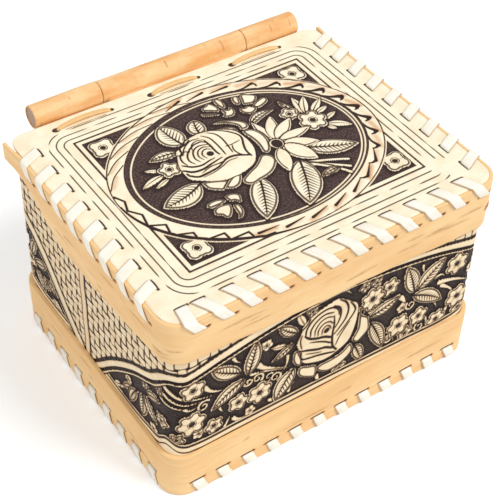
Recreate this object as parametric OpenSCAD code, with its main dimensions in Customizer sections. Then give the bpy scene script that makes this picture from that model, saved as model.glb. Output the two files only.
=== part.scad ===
// Hinged birch bark box: a laced bark body with an embossed wrap, and a
// laced bark lid that turns on a wooden dowel behind the back edge.
// The front long side faces -Y, the hinge is at +Y, the box stands on z = 0.

/* [Box] */
// Width over the skirt and the foot band
box_w = 201.6; // [180:0.2:240]
// Depth over the skirt front and the foot band
box_d = 164.8; // [150:0.2:200]
// Height from the table to the lid's top face
box_h = 128.6; // [115:0.2:160]
// Outer radius of the upright corners
corner_r = 13; // [8:0.5:20]

/* [Bark sheets] */
// Thickness of the lid skirt
skirt_t = 2.2; // [1.6:0.1:3]
// Thickness of the embossed outer wrap
wrap_t = 1.8; // [1.2:0.1:2.6]
// Thickness of the inner wall liner
liner_t = 1.6; // [1:0.1:2.4]
// Thickness of the lid's top panel
panel_t = 1.8; // [1.4:0.1:2.6]
// Thickness of the lining under the lid panel
lining_t = 1.2; // [1:0.1:1.8]
// Thickness of the bottom panel
bottom_t = 2.4; // [2:0.1:3.4]
// Thickness of the lining on the floor
floor_t = 1.2; // [0.8:0.1:2]
// Width of the butt seam in each bent sheet
seam_w = 0.4; // [0.2:0.1:0.8]
// Place of the wrap's seam behind the middle of the left side
wrap_seam = 4; // [-40:0.5:40]
// Place of the liner's seam behind the middle of the right side
liner_seam = 20; // [-40:0.5:40]
// Place of the foot band's seam to the right of the middle of the back
foot_seam = 64; // [55:0.5:75]

/* [Fits] */
// Sliding gap between the skirt and the wrap
skirt_gap = 0.4; // [0.3:0.05:0.8]
// Gap between the closed lid and the wall's rim
rest_gap = 0.2; // [0.1:0.05:0.4]
// Radial clearance of the lid's loops on the dowel
loop_clearance = 0.05; // [0.02:0.01:0.1]
// Gap between parts that pass each other at the hinge
pass_gap = 0.3; // [0.2:0.05:0.6]

/* [Foot band] */
// Height of the foot band's top edge
foot_h = 31; // [22:0.5:45]

/* [Skirt] */
// How far the skirt hangs at the left end of the front
skirt_drop_left = 26.4; // [18:0.1:34]
// How far it hangs at the right end of the front
skirt_drop_right = 30.6; // [18:0.1:34]
// How far it hangs in the middle of the sides
skirt_drop_side = 31.4; // [20:0.1:36]
// How far it hangs at its free ends by the hinge
skirt_drop_end = 10.8; // [9.5:0.1:16]
// Step from the panel's top face down to the skirt's top edge
ledge = 0.3; // [0:0.1:0.8]
// Distance of the skirt's free ends from the lid panel's back edge
skirt_back = 2; // [1:0.5:8]
// Length of the side edge's rise towards the hinge
skirt_rise_length = 60; // [40:1:70]
// Length of the level stretch behind that rise
skirt_level_length = 6; // [0:0.5:12]
// Distance of the lid panel's back edge from the back of the foot band
panel_back = 1.4; // [1.2:0.1:2]
// Radius of the lid panel's two back corners
back_corner_r = 8; // [4:0.5:14]

/* [Relief] */
// Depth of the tooled ground below the figures
carve = 0.6; // [0.3:0.1:0.8]
// Width of a line pressed into a figure
line_w = 0.9; // [0.6:0.1:1.4]
// Width of the ribbon over the wall's flowers
ribbon_w = 5; // [3:0.5:8]
// Height of the ribbon's middle line at the middle of the long walls
ribbon_mid = 101.3; // [96:0.1:108]
// The same at the left and the right end of the long walls
ribbon_ends = [86, 82]; // [70:0.5:96]
// The same at its feet on the short walls, right and left of the ridge
ribbon_feet = [28, 26]; // [24:0.5:34]
// Distance of its right foot from the ridge
ribbon_foot_gap = 5; // [1:0.5:10]
// Width of the dark line on each side of the ribbon
ribbon_line = 1.7; // [1:0.1:2.5]
// Distance of the tooled ground below the ribbon's middle line
ribbon_drop = 5.6; // [4:0.1:9]
// Lower edge of the tooled ground at the left and right end of a long wall
ground_low = [38.5, 36.5]; // [34:0.5:44]
// The same on the short walls, beside the ridge
ground_low_ridge = 32; // [30:0.5:36]
// Width of the plain ridge on the short walls
ridge_w = 6; // [4:0.5:9]
// From the panel's left, right, front and back edge to the frame on the lid
frame_in = [27.4, 27.2, 26.2, 22.2]; // [20:0.1:34]
// From the frame to the dark oval, along and across the lid
oval_in = [4, 4.2]; // [2:0.1:12]
// How far the oval lies to the right of the frame's middle and behind it
oval_shift = [0.4, 0.6]; // [-4:0.1:4]
// Width of the collar round the oval, along and across the lid
collar_w = [9.1, 8]; // [5:0.1:12]
// Cuts round the collar
collar_cuts = 36; // [20:1:48]
// Width of the dark line round the frame
frame_line = 1.5; // [1:0.1:2.5]
// Distances of the three fine lines outside the frame
border_steps = [5.2, 9.3, 13.4]; // [3:0.1:14]

/* [Laces] */
// Width of a lace
lace_w = 7.6; // [5:0.1:9]
// Thickness of a lace
lace_t = 0.8; // [0.6:0.1:1]
// Distance of the slits in lid and bottom from the outer face
lace_reach = 11.2; // [9:0.1:14]
// Depth of the slits in the skirt below the lid's top face
lace_drop = 7; // [5.5:0.1:8.5]
// Height of the slits in the foot band above the table
foot_lace_rise = 8.3; // [6:0.1:14]
// Sideways lead of a lid lace from slit to slit
lid_lace_lead = 10.2; // [0:0.2:12]
// Sideways lead of a foot lace from slit to slit
foot_lace_lead = 6; // [0:0.2:10]
// Laces along the lid's front
lid_front_count = 12; // [6:1:12]
// Laces along the lid's left side
lid_left_count = 8; // [4:1:8]
// Laces along the lid's right side
lid_right_count = 9; // [4:1:9]
// Laces along the foot's front and back
foot_long_count = 12; // [6:1:12]
// Laces along each of the foot's two short sides
foot_short_count = 9; // [4:1:9]
// From the corner to the first lace's middle and from the last one's to
// the other corner, along the lid's front
lid_front_ends = [11.9, 17.8]; // [11:0.1:30]
// The same along the lid's left side, from the hinge to the front
lid_left_ends = [24.9, 25.8]; // [22:0.1:34]
// The same along the lid's right side, from the front to the hinge
lid_right_ends = [22.7, 14.9]; // [14:0.1:30]
// The same along the foot's front and back
foot_long_ends = [18.9, 14.4]; // [14:0.1:30]
// The same along the foot's short sides
foot_short_ends = [20, 17.4]; // [17:0.1:30]

/* [Hinge] */
// Outer radius of the bark loops
loop_r = 6.9; // [5.5:0.1:8]
// Thickness of the bark in the loops and leaves
loop_t = 1.2; // [0.8:0.1:1.2]
// Height of the dowel's axis above the lid's top face
axle_rise = 1.7; // [0.5:0.1:3]
// Left end of the row of loops
loops_left = -81; // [-88:0.5:-70]
// Seam between the left loop and the middle loop
seam_left = -40.5; // [-60:0.5:-30]
// Seam between the middle loop and the right loop
seam_right = 52.8; // [36:0.2:60]
// Right end of the row of loops
loops_right = 89; // [76:0.5:92]
// How far the dowel's ends sit inside the loops
dowel_recess = 0.6; // [0.2:0.1:2]
// How far the leaves stop short of the loops' outer ends
leaf_inset = 6.4; // [4:0.2:10]
// Depth of the lid's leaf under the panel
leaf_depth = 21; // [17:0.5:30]
// Distance of the lid leaf's middle stretch from the panel's back edge
leaf_web_back = 2; // [1:0.5:4]
// Lower end of the box's leaf above the table
leaf_foot = 70; // [50:1:85]
// How far below the rim the box's leaf leaves the wall
leaf_bend_low = 14; // [10:0.5:20]
// How far below the rim it stands straight up to the loops again
leaf_bend_high = 5; // [3:0.5:8]

/* [Stitches] */
// Width of the thin stitching laces
stitch_w = 4.4; // [3:0.1:5]
// Distance of the lid's stitching from the panel's back edge
stitch_in = 7.4; // [6.5:0.1:8]
// Distance of the lid's first stitch hole from the left end of the loops
stitch_start = 8; // [7:0.5:12]
// Lengths of the lid's three stitches, from the left
stitch_lengths = [32, 29, 31]; // [20:0.5:34]
// Lengths of the two gaps between them
stitch_gaps = [26, 24]; // [16:0.5:28]
// Height of the back stitches above the lower end of the box's leaf
leaf_stitch_rise = 9; // [5:0.5:14]
// Distance of the back stitches from the sides of the middle loop
leaf_stitch_in = 10; // [8:0.5:16]
// Stitches at the back
leaf_stitch_count = 3; // [2:1:5]
// Length of the stitch across the foot band's seam
seam_stitch = 16; // [10:0.5:24]
// Height of that stitch
seam_stitch_z = 20; // [15:0.5:26]

/* [Hidden] */
$fn = 96;
over = 1;
half_w = box_w / 2;
half_d = box_d / 2;
// inner face of the skirt, outer face of the wrap, and so on inwards
skirt_in_w = half_w - skirt_t;
skirt_in_d = half_d - skirt_t;
foot_t = skirt_t + skirt_gap;
wrap_out_w = half_w - foot_t;
wrap_out_d = half_d - foot_t;
wrap_r = corner_r - foot_t;
liner_out_w = wrap_out_w - wrap_t;
liner_out_d = wrap_out_d - wrap_t;
liner_r = wrap_r - wrap_t;
room_w = liner_out_w - liner_t;
room_d = liner_out_d - liner_t;
room_r = liner_r - liner_t;
// levels
panel_low = box_h - panel_t;
lining_low = panel_low - lining_t;
wall_top = lining_low - rest_gap;
skirt_top = box_h - ledge;
// lid panel's back edge, and the dowel's axis behind it
panel_back_y = half_d - panel_back;
axle_y = panel_back_y + pass_gap + loop_r;
axle_z = box_h + axle_rise;
skirt_end_y = panel_back_y - skirt_back;
dowel_r = loop_r - loop_t - loop_clearance;
leaf_front_y = panel_back_y - leaf_depth;
stitch_y = panel_back_y - stitch_in;
// stitch holes in the lid's back border: the lace is on top between the
// first and second, the third and fourth, and the fifth and sixth
stitch_pitch = stitch_lengths + concat(stitch_gaps, [0]);
stitch_xs = [for (k = [0 : 2]) let (from = loops_left + stitch_start
        + (k > 0 ? stitch_pitch[0] : 0) + (k > 1 ? stitch_pitch[1] : 0))
    each [from, from + stitch_lengths[k]]];
// rows of laces: count, and distances from the corners
LID_FRONT = [lid_front_count, lid_front_ends];
LID_LEFT = [lid_left_count, lid_left_ends];
LID_RIGHT = [lid_right_count, lid_right_ends];
FOOT_LONG = [foot_long_count, foot_long_ends];
FOOT_SHORT = [foot_short_count, foot_short_ends];
// quarter turns from the front: right, back and left side
FRONT = 0;
RIGHT = 1;
BACK = 2;
LEFT = 3;
// seams of the bent strips: the side, and the place along it
WRAP_SEAM = [LEFT, -wrap_seam];
LINER_SEAM = [RIGHT, liner_seam];
FOOT_SEAM = [BACK, -foot_seam];
// stitches that hold the box's leaf to the back wall
leaf_stitch_z = leaf_foot + leaf_stitch_rise;
leaf_stitch_step = (seam_right - seam_left - 2 * leaf_stitch_in) / (2 * leaf_stitch_count - 1);
leaf_stitch_xs = [for (k = [0 : 2 * leaf_stitch_count - 1])
    seam_left + leaf_stitch_in + k * leaf_stitch_step];

// the frame on the lid and the oval in it, as middles and sizes
lid_frame = [2 * skirt_in_w - frame_in[0] - frame_in[1],
    panel_back_y + skirt_in_d - frame_in[2] - frame_in[3]];
lid_frame_at = [frame_in[0] - frame_in[1], panel_back_y - skirt_in_d + frame_in[2] - frame_in[3]] / 2;
lid_oval = lid_frame / 2 - oval_in;
lid_oval_at = lid_frame_at + oval_shift;
// the ribbon's middle line on a long wall, and on a short wall right and
// left of the ridge: x along the wall from its middle, height
ribbon_steps = 14;
ribbon_long = [for (k = [0 : ribbon_steps]) let (t = 2 * k / ribbon_steps - 1,
        drops = [ribbon_mid - ribbon_ends[0], ribbon_mid - ribbon_ends[1]])
    [t * wrap_out_w, ribbon_mid - t * t * (drops[0] + drops[1]) / 2 + t * (drops[0] - drops[1]) / 2]];
ridge_x = -wrap_seam;
ribbon_right = [for (k = [0 : ribbon_steps / 2]) let (t = 2 * k / ribbon_steps)
    [ridge_x + ribbon_foot_gap + t * (wrap_out_d - ridge_x - ribbon_foot_gap),
        rising(ribbon_feet[0], ribbon_ends[0], t)]];
ribbon_left = [for (k = [0 : ribbon_steps / 2]) let (t = 1 - 2 * k / ribbon_steps)
    [ridge_x - ridge_w - t * (wrap_out_d + ridge_x - ridge_w),
        rising(ribbon_feet[1], ribbon_ends[1], t)]];

// The figures, in mm from the middle of a wall or of the lid. A leaf is
// its foot, its tip and its width, a flower its middle, radius and petals,
// and a rose's petals are circles in shares of the rose's size. The lid's
// figures are drawn for an oval of this half length and grow with it.
oval_drawn = 67.3;
WALL_LEAVES = [
    [[-24, 82], [-37, 94], 8], [[-26, 77], [-40.5, 69.5], 6.4], [[-25, 57], [-37, 38.5], 12],
    [[21.5, 67], [43, 73], 9.5], [[23, 62.5], [34, 38], 10.5], [[13.5, 51], [20, 37.5], 8.6],
    [[52.5, 68], [44.5, 88], 11], [[54, 69], [72.5, 83], 12], [[51, 67], [74.5, 51], 11],
    [[-58, 73.5], [-76.5, 86], 10.5], [[-54.5, 68.5], [-49, 89], 10], [[-55, 68], [-76.5, 55], 10]];
WALL_FLOWERS = [
    [[-80.5, 77], 6, 5], [[-79, 58], 8, 6], [[-75.5, 45], 5.6, 5], [[-59.5, 52], 5.6, 5],
    [[-46.5, 51], 8, 6], [[34, 82.5], 7, 6], [[23, 84], 7.6, 7], [[79, 73], 8, 6],
    [[44, 50], 8.4, 6], [[58, 46.5], 6.6, 5], [[71, 41.5], 5, 6], [[79, 51], 8, 6], [[0, 44], 5.4, 5]];
WALL_ROSE = [[-5.5, 74], 18];
SIDE_LEAVES = [
    [[40, 51], [31, 43], 6.5], [[46, 53], [41, 38], 7.5], [[52, 57], [51, 39], 9],
    [[54, 58], [63, 46], 8], [[-58, 53], [-44, 58], 7], [[-60, 56], [-55, 68], 7.5],
    [[-59, 50], [-50, 38], 8], [[-53, 48], [-39, 43], 6]];
SIDE_FLOWERS = [
    [[54.5, 66], 4.6, 5], [[64, 73.5], 4.4, 5], [[63, 56], 5.4, 5], [[60, 42.5], 4, 5],
    [[-52.5, 44.5], 5, 5], [[-62, 53], 7, 6], [[-64, 69], 4.4, 5], [[-44, 53], 3.4, 5]];
LID_LEAVES = [
    [[-24, 27], [-27.5, 46], 13], [[-12, 29], [-8.5, 42.5], 10], [[-29, 23], [-47, 24.5], 7.5],
    [[-45, 12], [-60, 8], 4.8], [[-32, -3.5], [-58, -10.5], 14], [[-5, -12], [-20, -42], 14.5],
    [[20, -13], [4, -45], 16], [[28, -8], [55.5, -20.5], 12], [[43, 15], [39, 32.5], 5.5],
    [[46, 15], [54, 28.5], 5], [[49, 13], [61, 20], 4.4], [[50, 2], [61, -6.5], 5],
    [[18, 2], [16, 26], 7], [[18, 3], [29, 24], 7.5], [[18, 3], [37, 16.5], 8],
    [[18, 3.5], [41.5, 4], 8.5], [[18, 2], [41, -8], 9], [[18, 3], [29.5, -18.5], 9],
    [[17, 3], [10.5, -19.5], 9]];
LID_FLOWERS = [
    [[45.6, 8], 8, 6], [[-40.6, 14], 5.6, 5], [[6.5, 43], 6.4, 6], [[26, 39.5], 6.4, 6],
    [[-33, -25.5], 6.4, 6], [[39, 20], 5, 5]];
CORNER_FLOWERS = [
    [[-60.4, 47.3], 7.4, 4], [[60.5, 48], 7.4, 4], [[61.2, -42.5], 7.4, 4], [[-59.8, -42.3], 7.4, 4]];
LID_ROSE = [[-14.5, 10.5], 20];
ROSE_PETALS = [
    [0, 0, 0.86], [-0.5, -0.72, 0.42], [0.08, -0.86, 0.42], [0.66, -0.74, 0.44],
    [0.86, -0.05, 0.42], [0.58, 0.6, 0.42], [-0.22, 0.74, 0.4], [-0.72, 0.36, 0.4],
    [-0.8, -0.26, 0.36]];
// its pressed lines: middle, radius, and the angles between which they run
ROSE_LINES = [
    [-0.12, 0.18, 0.28, 20, 190], [-0.08, 0.1, 0.44, 70, 260], [-0.02, 0.02, 0.6, -60, 120],
    [0, 0, 0.8, 100, 280], [0.5, -0.66, 0.36, 120, 240], [0.78, -0.05, 0.4, 110, 250]];
// its dark eye: middle and radius
ROSE_EYE = [-0.16, 0.22, 0.12];
// proportions: the stretch of a leaf that its midrib takes, how far a
// flower's petals overlap, and the radius of its eye
RIB = [0.2, 0.75];
petal_overlap = 1.08;
eye_share = 0.18;
// radius of an oval's ends, in shares of an ellipse's
end_bluntness = 1.04;
// where a cut begins and ends across the collar, in shares of its width,
// and how far it slants and opens, in shares of the step between cuts
CUT = [0.2, 0.9];
cut_slant = 0.8;
cut_open = 0.3;

BARK = [0.97, 0.80, 0.58];
CREAM = [1, 0.95, 0.82];
LACE = [0.99, 0.98, 0.95];
HINGE = [0.95, 0.74, 0.48];
WOOD = [0.80, 0.72, 0.68];

function ease(t) = let (c = min(max(t, 0), 1)) c * c * (3 - 2 * c);

// A height that climbs fast from low and slower to high, as t goes from 0 to 1
function rising(low, high, t) = low + (high - low) * (1 - pow(1 - t, 1.5));

// A path shifted sideways, to its left
function beside(path, away) = let (last = len(path) - 1) [for (k = [0 : last])
    let (along = path[min(k + 1, last)] - path[max(k - 1, 0)])
    path[k] + away * [-along[1], along[0]] / norm(along)];

function turned_back(path) = [for (k = [len(path) - 1 : -1 : 0]) path[k]];

// A flat sheet with rounded corners, of one radius in front and one behind
module sheet(half, front, back, r_front, r_back) {
    translate([-half, front + r_front]) square([2 * half, back - r_back - front - r_front]);
    translate([r_front - half, front]) square([2 * (half - r_front), r_front + over]);
    translate([r_back - half, back - r_back - over])
        square([2 * (half - r_back), r_back + over]);
    for (s = [-1, 1]) {
        translate([s * (half - r_front), front + r_front]) circle(r = r_front);
        translate([s * (half - r_back), back - r_back]) circle(r = r_back);
    }
}

// A bent strip that closes on itself, with a butt seam on one side
module bent_strip(half_x, half_y, r, t, low, high, seam) {
    out = seam[0] % 2 == 0 ? half_y : half_x;
    translate([0, 0, low]) linear_extrude(high - low) difference() {
        sheet(half_x, -half_y, half_y, r, r);
        sheet(half_x - t, t - half_y, half_y - t, r - t, r - t);
        rotate(90 * seam[0]) translate([seam[1] - seam_w / 2, -out - over])
            square([seam_w, t + 2 * over]);
    }
}

// A pointed leaf between two arcs, with its midrib pressed in
module leaf(foot, tip, wide) {
    along = tip - foot;
    long = norm(along);
    r = (long * long + wide * wide) / (4 * wide);
    translate((foot + tip) / 2) rotate(atan2(along[1], along[0])) difference() {
        intersection_for(s = [-1, 1]) translate([0, s * (r - wide / 2)]) circle(r = r);
        translate([(RIB[0] - 0.5) * long, -line_w / 2]) square([(RIB[1] - RIB[0]) * long, line_w]);
    }
}

// An open flower of round petals with a dark eye
module flower(middle, r, petals) {
    part = 180 / petals;
    petal = r * sin(part) * petal_overlap / (1 + sin(part));
    translate(middle) difference() {
        union() {
            circle(r = r - petal);
            for (k = [0 : petals - 1]) rotate(2 * k * part) translate([r - petal, 0]) circle(r = petal);
        }
        circle(r = max(eye_share * r, line_w));
    }
}

// A line pressed along an arc
module arc_line(r, from, to) intersection() {
    difference() {
        circle(r = r + line_w / 2);
        circle(r = r - line_w / 2);
    }
    polygon(concat([[0, 0]], [for (k = [0 : 4]) let (a = from + k * (to - from) / 4)
        2 * r * [cos(a), sin(a)]]));
}

module rose(middle, size) translate(middle) difference() {
    for (p = ROSE_PETALS) translate(size * [p[0], p[1]]) circle(r = size * p[2]);
    for (p = ROSE_LINES) translate(size * [p[0], p[1]]) arc_line(size * p[2], p[3], p[4]);
    translate(size * [ROSE_EYE[0], ROSE_EYE[1]]) circle(r = size * ROSE_EYE[2]);
}

module figures(leaves, flowers) {
    for (p = leaves) leaf(p[0], p[1], p[2]);
    for (p = flowers) flower(p[0], p[1], p[2]);
}

// The tooled ground between a stretch of ribbon and the foot, and the dark
// lines along the ribbon
module ground(ribbon, low) {
    lines = [ribbon_w / 2, ribbon_w / 2 + ribbon_line];
    from = ribbon[0][0];
    to = ribbon[len(ribbon) - 1][0];
    difference() {
        polygon(concat(beside(ribbon, -ribbon_drop), [[to, 0], [from, 0]]));
        polygon([[from - over, -over], [to + over, -over], [to + over, low[1]], [from - over, low[0]]]);
        children();
    }
    for (s = [-1, 1])
        polygon(concat(beside(ribbon, s * lines[0]), turned_back(beside(ribbon, s * lines[1]))));
}

// What is pressed down in one wall: x along the wall from its middle, height
module long_ground() ground(ribbon_long, ground_low) {
    figures(WALL_LEAVES, WALL_FLOWERS);
    rose(WALL_ROSE[0], WALL_ROSE[1]);
}

module short_ground() {
    ground(ribbon_right, [ground_low_ridge, ground_low[0]]) figures(SIDE_LEAVES, SIDE_FLOWERS);
    ground(ribbon_left, [ground_low[1], ground_low_ridge]) figures(SIDE_LEAVES, SIDE_FLOWERS);
    for (x = [ridge_x, ridge_x - ridge_w]) translate([x - line_w / 2, ground_low_ridge])
        square([line_w, wall_top - ground_low_ridge + over]);
}

// The ground in the flat stretches of all four walls and round the corners
module wall_carving() {
    for (side = [FRONT, RIGHT, BACK, LEFT]) {
        long = side % 2 == 0;
        flat = (long ? wrap_out_w : wrap_out_d) - wrap_r;
        out = long ? wrap_out_d : wrap_out_w;
        low = ground_low[long ? 1 : 0];
        high = ribbon_ends[long ? 1 : 0] - ribbon_drop;
        rotate([0, 0, 90 * side]) {
            translate([0, carve - out, 0]) rotate([90, 0, 0]) linear_extrude(carve + over)
                intersection() {
                    if (long) long_ground(); else short_ground();
                    translate([-flat, 0]) square([2 * flat, wall_top + over]);
                }
            translate([flat, wrap_r - out, low]) linear_extrude(high - low) difference() {
                translate([0, -wrap_r - over]) square([wrap_r + over, wrap_r + over]);
                circle(r = wrap_r - carve);
            }
        }
    }
}

// An oval of four arcs: half its length and half its width
module oval(half) {
    r = end_bluntness * half[1] * half[1] / half[0];
    off = half[0] - r;
    far = (off * off + half[1] * half[1] - r * r) / (2 * (half[1] - r));
    meet = off + r * off / (far - r);
    for (s = [-1, 1]) translate([s * off, 0]) circle(r = r);
    intersection() {
        translate([0, half[1] - far]) circle(r = far);
        translate([0, far - half[1]]) circle(r = far);
        translate([-meet, -2 * half[1]]) square([2 * meet, 4 * half[1]]);
    }
}

// A rectangle round a middle, grown outwards by some margin
module frame_sheet(grow, r) {
    half = lid_frame / 2 + [grow, grow];
    translate(lid_frame_at) sheet(half[0], -half[1], half[1], r, r);
}

// A line pressed round the frame, some way outside it
module frame_ring(away, wide, r) difference() {
    frame_sheet(away + wide / 2, r + wide / 2);
    frame_sheet(away - wide / 2, max(r - wide / 2, over / 10));
}

// What is pressed down in the lid's top
module lid_ground() {
    difference() {
        translate(lid_oval_at) oval(lid_oval);
        scale(lid_oval[0] / oval_drawn) {
            figures(LID_LEAVES, LID_FLOWERS);
            rose(LID_ROSE[0], LID_ROSE[1]);
        }
    }
    difference() {
        frame_sheet(-2 * frame_line, over / 10);
        translate(lid_oval_at) oval(lid_oval + collar_w + [line_w, line_w]);
        scale(lid_oval[0] / oval_drawn) figures([], CORNER_FLOWERS);
    }
    frame_ring(0, frame_line, over / 10);
    for (away = border_steps) frame_ring(away, line_w, away);
    translate(lid_oval_at) for (k = [0 : collar_cuts - 1]) collar_cut(360 * k / collar_cuts);
}

// One slanting cut across the collar, wider outwards
module collar_cut(a) {
    in = lid_oval + CUT[0] * collar_w;
    out = lid_oval + CUT[1] * collar_w;
    step = 360 / collar_cuts;
    polygon([for (p = [[in, a], [out, a + cut_slant * step], [out, a + (cut_slant + cut_open) * step]])
        [p[0][0] * cos(p[1]), p[0][1] * sin(p[1])]]);
}

// One rim lace. x runs along the edge, y = 0 is the outer face, -y is
// outward and z = 0 is the face that the lace crosses. It passes through
// a slit in the flat panel (depth deep) at x_flat, over the edge at
// x_edge, and through a slit in the band (band thick) at x_band.
module lace_strips(x_flat, x_edge, x_band, drop) {
    linear_extrude(lace_t) polygon([
        [x_flat, lace_reach], [x_flat, lace_reach - lace_t], [x_edge, 0], [x_edge, -lace_t],
        [x_edge + lace_w, -lace_t], [x_edge + lace_w, 0],
        [x_flat + lace_w, lace_reach - lace_t], [x_flat + lace_w, lace_reach]]);
    rotate([90, 0, 0]) linear_extrude(lace_t) polygon([
        [x_edge, lace_t], [x_edge, 0], [x_band, lace_t - drop], [x_band, -drop],
        [x_band + lace_w, -drop], [x_band + lace_w, lace_t - drop],
        [x_edge + lace_w, 0], [x_edge + lace_w, lace_t]]);
}

module lace_legs(x_flat, x_band, drop, deep, band) {
    translate([x_flat, lace_reach - lace_t, -deep]) cube([lace_w, lace_t, deep + lace_t / 2]);
    translate([x_band, -lace_t / 2, -drop]) cube([lace_w, band + lace_t / 2, lace_t]);
}

// Edge position of each lace in a row along a side that is len long
function row(len, spec) = let (last = spec[0] - 1, ends = spec[1]) [for (i = [0 : last])
    ends[0] - len / 2 + i * (len - ends[0] - ends[1]) / last - lace_w / 2];

function side_len(side) = side % 2 == 0 ? box_w : box_d;
function side_out(side) = side % 2 == 0 ? half_d : half_w;

// The lid laces of one side, or only their legs with extra length for the slits
module lid_laces(side, spec, slits = false) {
    lead = lid_lace_lead / 2;
    first = lace_reach - 2 * lace_t - side_len(side) / 2;
    rotate([0, 0, 90 * side]) translate([0, -side_out(side), box_h])
        for (x = row(side_len(side), spec)) {
            x_flat = max(x - lead, first);
            if (!slits) lace_strips(x_flat, x, x + lead, lace_drop);
            lace_legs(x_flat, x + lead, lace_drop,
                panel_t + (slits ? over / 10 : 0), skirt_t + (slits ? over : 0));
        }
}

// The foot laces of one side: the same lace turned over, under the bottom
module foot_laces(side, spec, slits = false) {
    lead = foot_lace_lead / 2;
    last = side_len(side) / 2 - lace_reach - lace_w;
    rotate([0, 0, 90 * side]) translate([0, -side_out(side), lace_t]) mirror([0, 0, 1])
        for (x = row(side_len(side), spec)) {
            x_flat = min(x + lead, last);
            lace_strips(x_flat, x, x - lead, foot_lace_rise - lace_t);
            lace_legs(x_flat, x - lead, foot_lace_rise - lace_t,
                bottom_t - lace_t + (slits ? over : 0), foot_t + (slits ? over / 10 : 0));
        }
}

module all_foot_laces(slits) {
    foot_laces(FRONT, FOOT_LONG, slits);
    foot_laces(RIGHT, FOOT_SHORT, slits);
    foot_laces(BACK, FOOT_LONG, slits);
    foot_laces(LEFT, FOOT_SHORT, slits);
}

module all_lid_slits() {
    lid_laces(FRONT, LID_FRONT, true);
    lid_laces(RIGHT, LID_RIGHT, true);
    lid_laces(LEFT, LID_LEFT, true);
}

module bottom_panel() color(BARK) difference() {
    linear_extrude(bottom_t) sheet(wrap_out_w, -wrap_out_d, wrap_out_d, wrap_r, wrap_r);
    all_foot_laces(true);
}

module floor_lining() color(BARK) translate([0, 0, bottom_t])
    linear_extrude(floor_t) sheet(room_w, -room_d, room_d, room_r, room_r);

module wall_liner() color(BARK)
    bent_strip(liner_out_w, liner_out_d, liner_r, liner_t, bottom_t, wall_top, LINER_SEAM);

module wall_wrap() color(CREAM) difference() {
    bent_strip(wrap_out_w, wrap_out_d, wrap_r, wrap_t, bottom_t, wall_top, WRAP_SEAM);
    wall_carving();
    leaf_stitches(true);
}

module foot_band() color(BARK) difference() {
    bent_strip(half_w, half_d, corner_r, foot_t, lace_t, foot_h, FOOT_SEAM);
    all_foot_laces(true);
    foot_seam_stitch(true);
}

// One stitch across the foot band's seam: a strip with a leg at each end
module foot_seam_stitch(slits = false) {
    depth = foot_t + (slits ? over / 10 : 0);
    rotate([0, 0, 90 * FOOT_SEAM[0]])
        translate([FOOT_SEAM[1] - seam_stitch / 2, -half_d, seam_stitch_z - stitch_w / 2]) {
            if (!slits) translate([0, -lace_t, 0]) cube([seam_stitch, lace_t, stitch_w]);
            for (leg = [0, seam_stitch - lace_t]) translate([leg, -lace_t / 2, 0])
                cube([lace_t, depth + lace_t / 2, stitch_w]);
        }
}

module foot_seam_lace() color(LACE) foot_seam_stitch();

module foot_laces_front() color(LACE) foot_laces(FRONT, FOOT_LONG);
module foot_laces_right() color(LACE) foot_laces(RIGHT, FOOT_SHORT);
module foot_laces_back() color(LACE) foot_laces(BACK, FOOT_LONG);
module foot_laces_left() color(LACE) foot_laces(LEFT, FOOT_SHORT);

// A round bark loop on the dowel's axis, between two places along it
module loop_body(from, to, r) {
    translate([from, axle_y, axle_z]) rotate([0, 90, 0]) cylinder(r = r, h = to - from);
}

// The box's leaf runs up the back wall, bends out and rolls round the dowel
module hinge_leaf_box() color(HINGE) difference() {
    loop_from = seam_left + pass_gap / 2;
    loop_to = seam_right - pass_gap / 2;
    front = axle_y - loop_r;
    low = wall_top - leaf_bend_low;
    high = wall_top - leaf_bend_high;
    union() {
        loop_body(loop_from, loop_to, loop_r);
        translate([loop_from + leaf_inset / 2, 0, 0]) rotate([90, 0, 90])
            linear_extrude(loop_to - loop_from - leaf_inset) polygon([
                [wrap_out_d, leaf_foot], [wrap_out_d + loop_t, leaf_foot],
                [wrap_out_d + loop_t, low], [front + loop_t, high], [front + loop_t, axle_z],
                [front, axle_z], [front, high], [wrap_out_d, low]]);
    }
    loop_body(loop_from - over, loop_to + over, dowel_r);
    leaf_stitches(true);
}

// Running stitch through the box's leaf and the wrap
module leaf_stitches(slits = false) {
    out = wrap_out_d + loop_t;
    depth = loop_t + wrap_t + (slits ? over / 10 : 0);
    for (k = [0 : 2 : len(leaf_stitch_xs) - 2]) {
        from = leaf_stitch_xs[k];
        to = leaf_stitch_xs[k + 1];
        translate([from, out, leaf_stitch_z - stitch_w / 2]) {
            if (!slits) cube([to - from, lace_t, stitch_w]);
            for (leg = [0, to - from - lace_t]) translate([leg, -depth, 0])
                cube([lace_t, depth + lace_t / 2, stitch_w]);
        }
    }
}

module hinge_leaf_box_stitch() color(LACE) leaf_stitches();

module hinge_dowel() color(WOOD)
    loop_body(loops_left + dowel_recess, loops_right - dowel_recess, dowel_r);

module lid_panel() color(CREAM) difference() {
    translate([0, 0, panel_low]) linear_extrude(panel_t)
        sheet(skirt_in_w, -skirt_in_d, panel_back_y, corner_r - skirt_t, back_corner_r);
    translate([0, 0, box_h - carve]) linear_extrude(carve + over) lid_ground();
    all_lid_slits();
    lid_stitch_legs(true);
}

// The lining stops at the lid's leaf, which lies on the same level
module lid_lining() color(BARK) translate([0, 0, lining_low]) linear_extrude(lining_t)
    intersection() {
        sheet(skirt_in_w, -skirt_in_d, panel_back_y, corner_r - skirt_t, back_corner_r);
        translate([-half_w, -half_d]) square([box_w, leaf_front_y + half_d]);
    }

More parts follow.
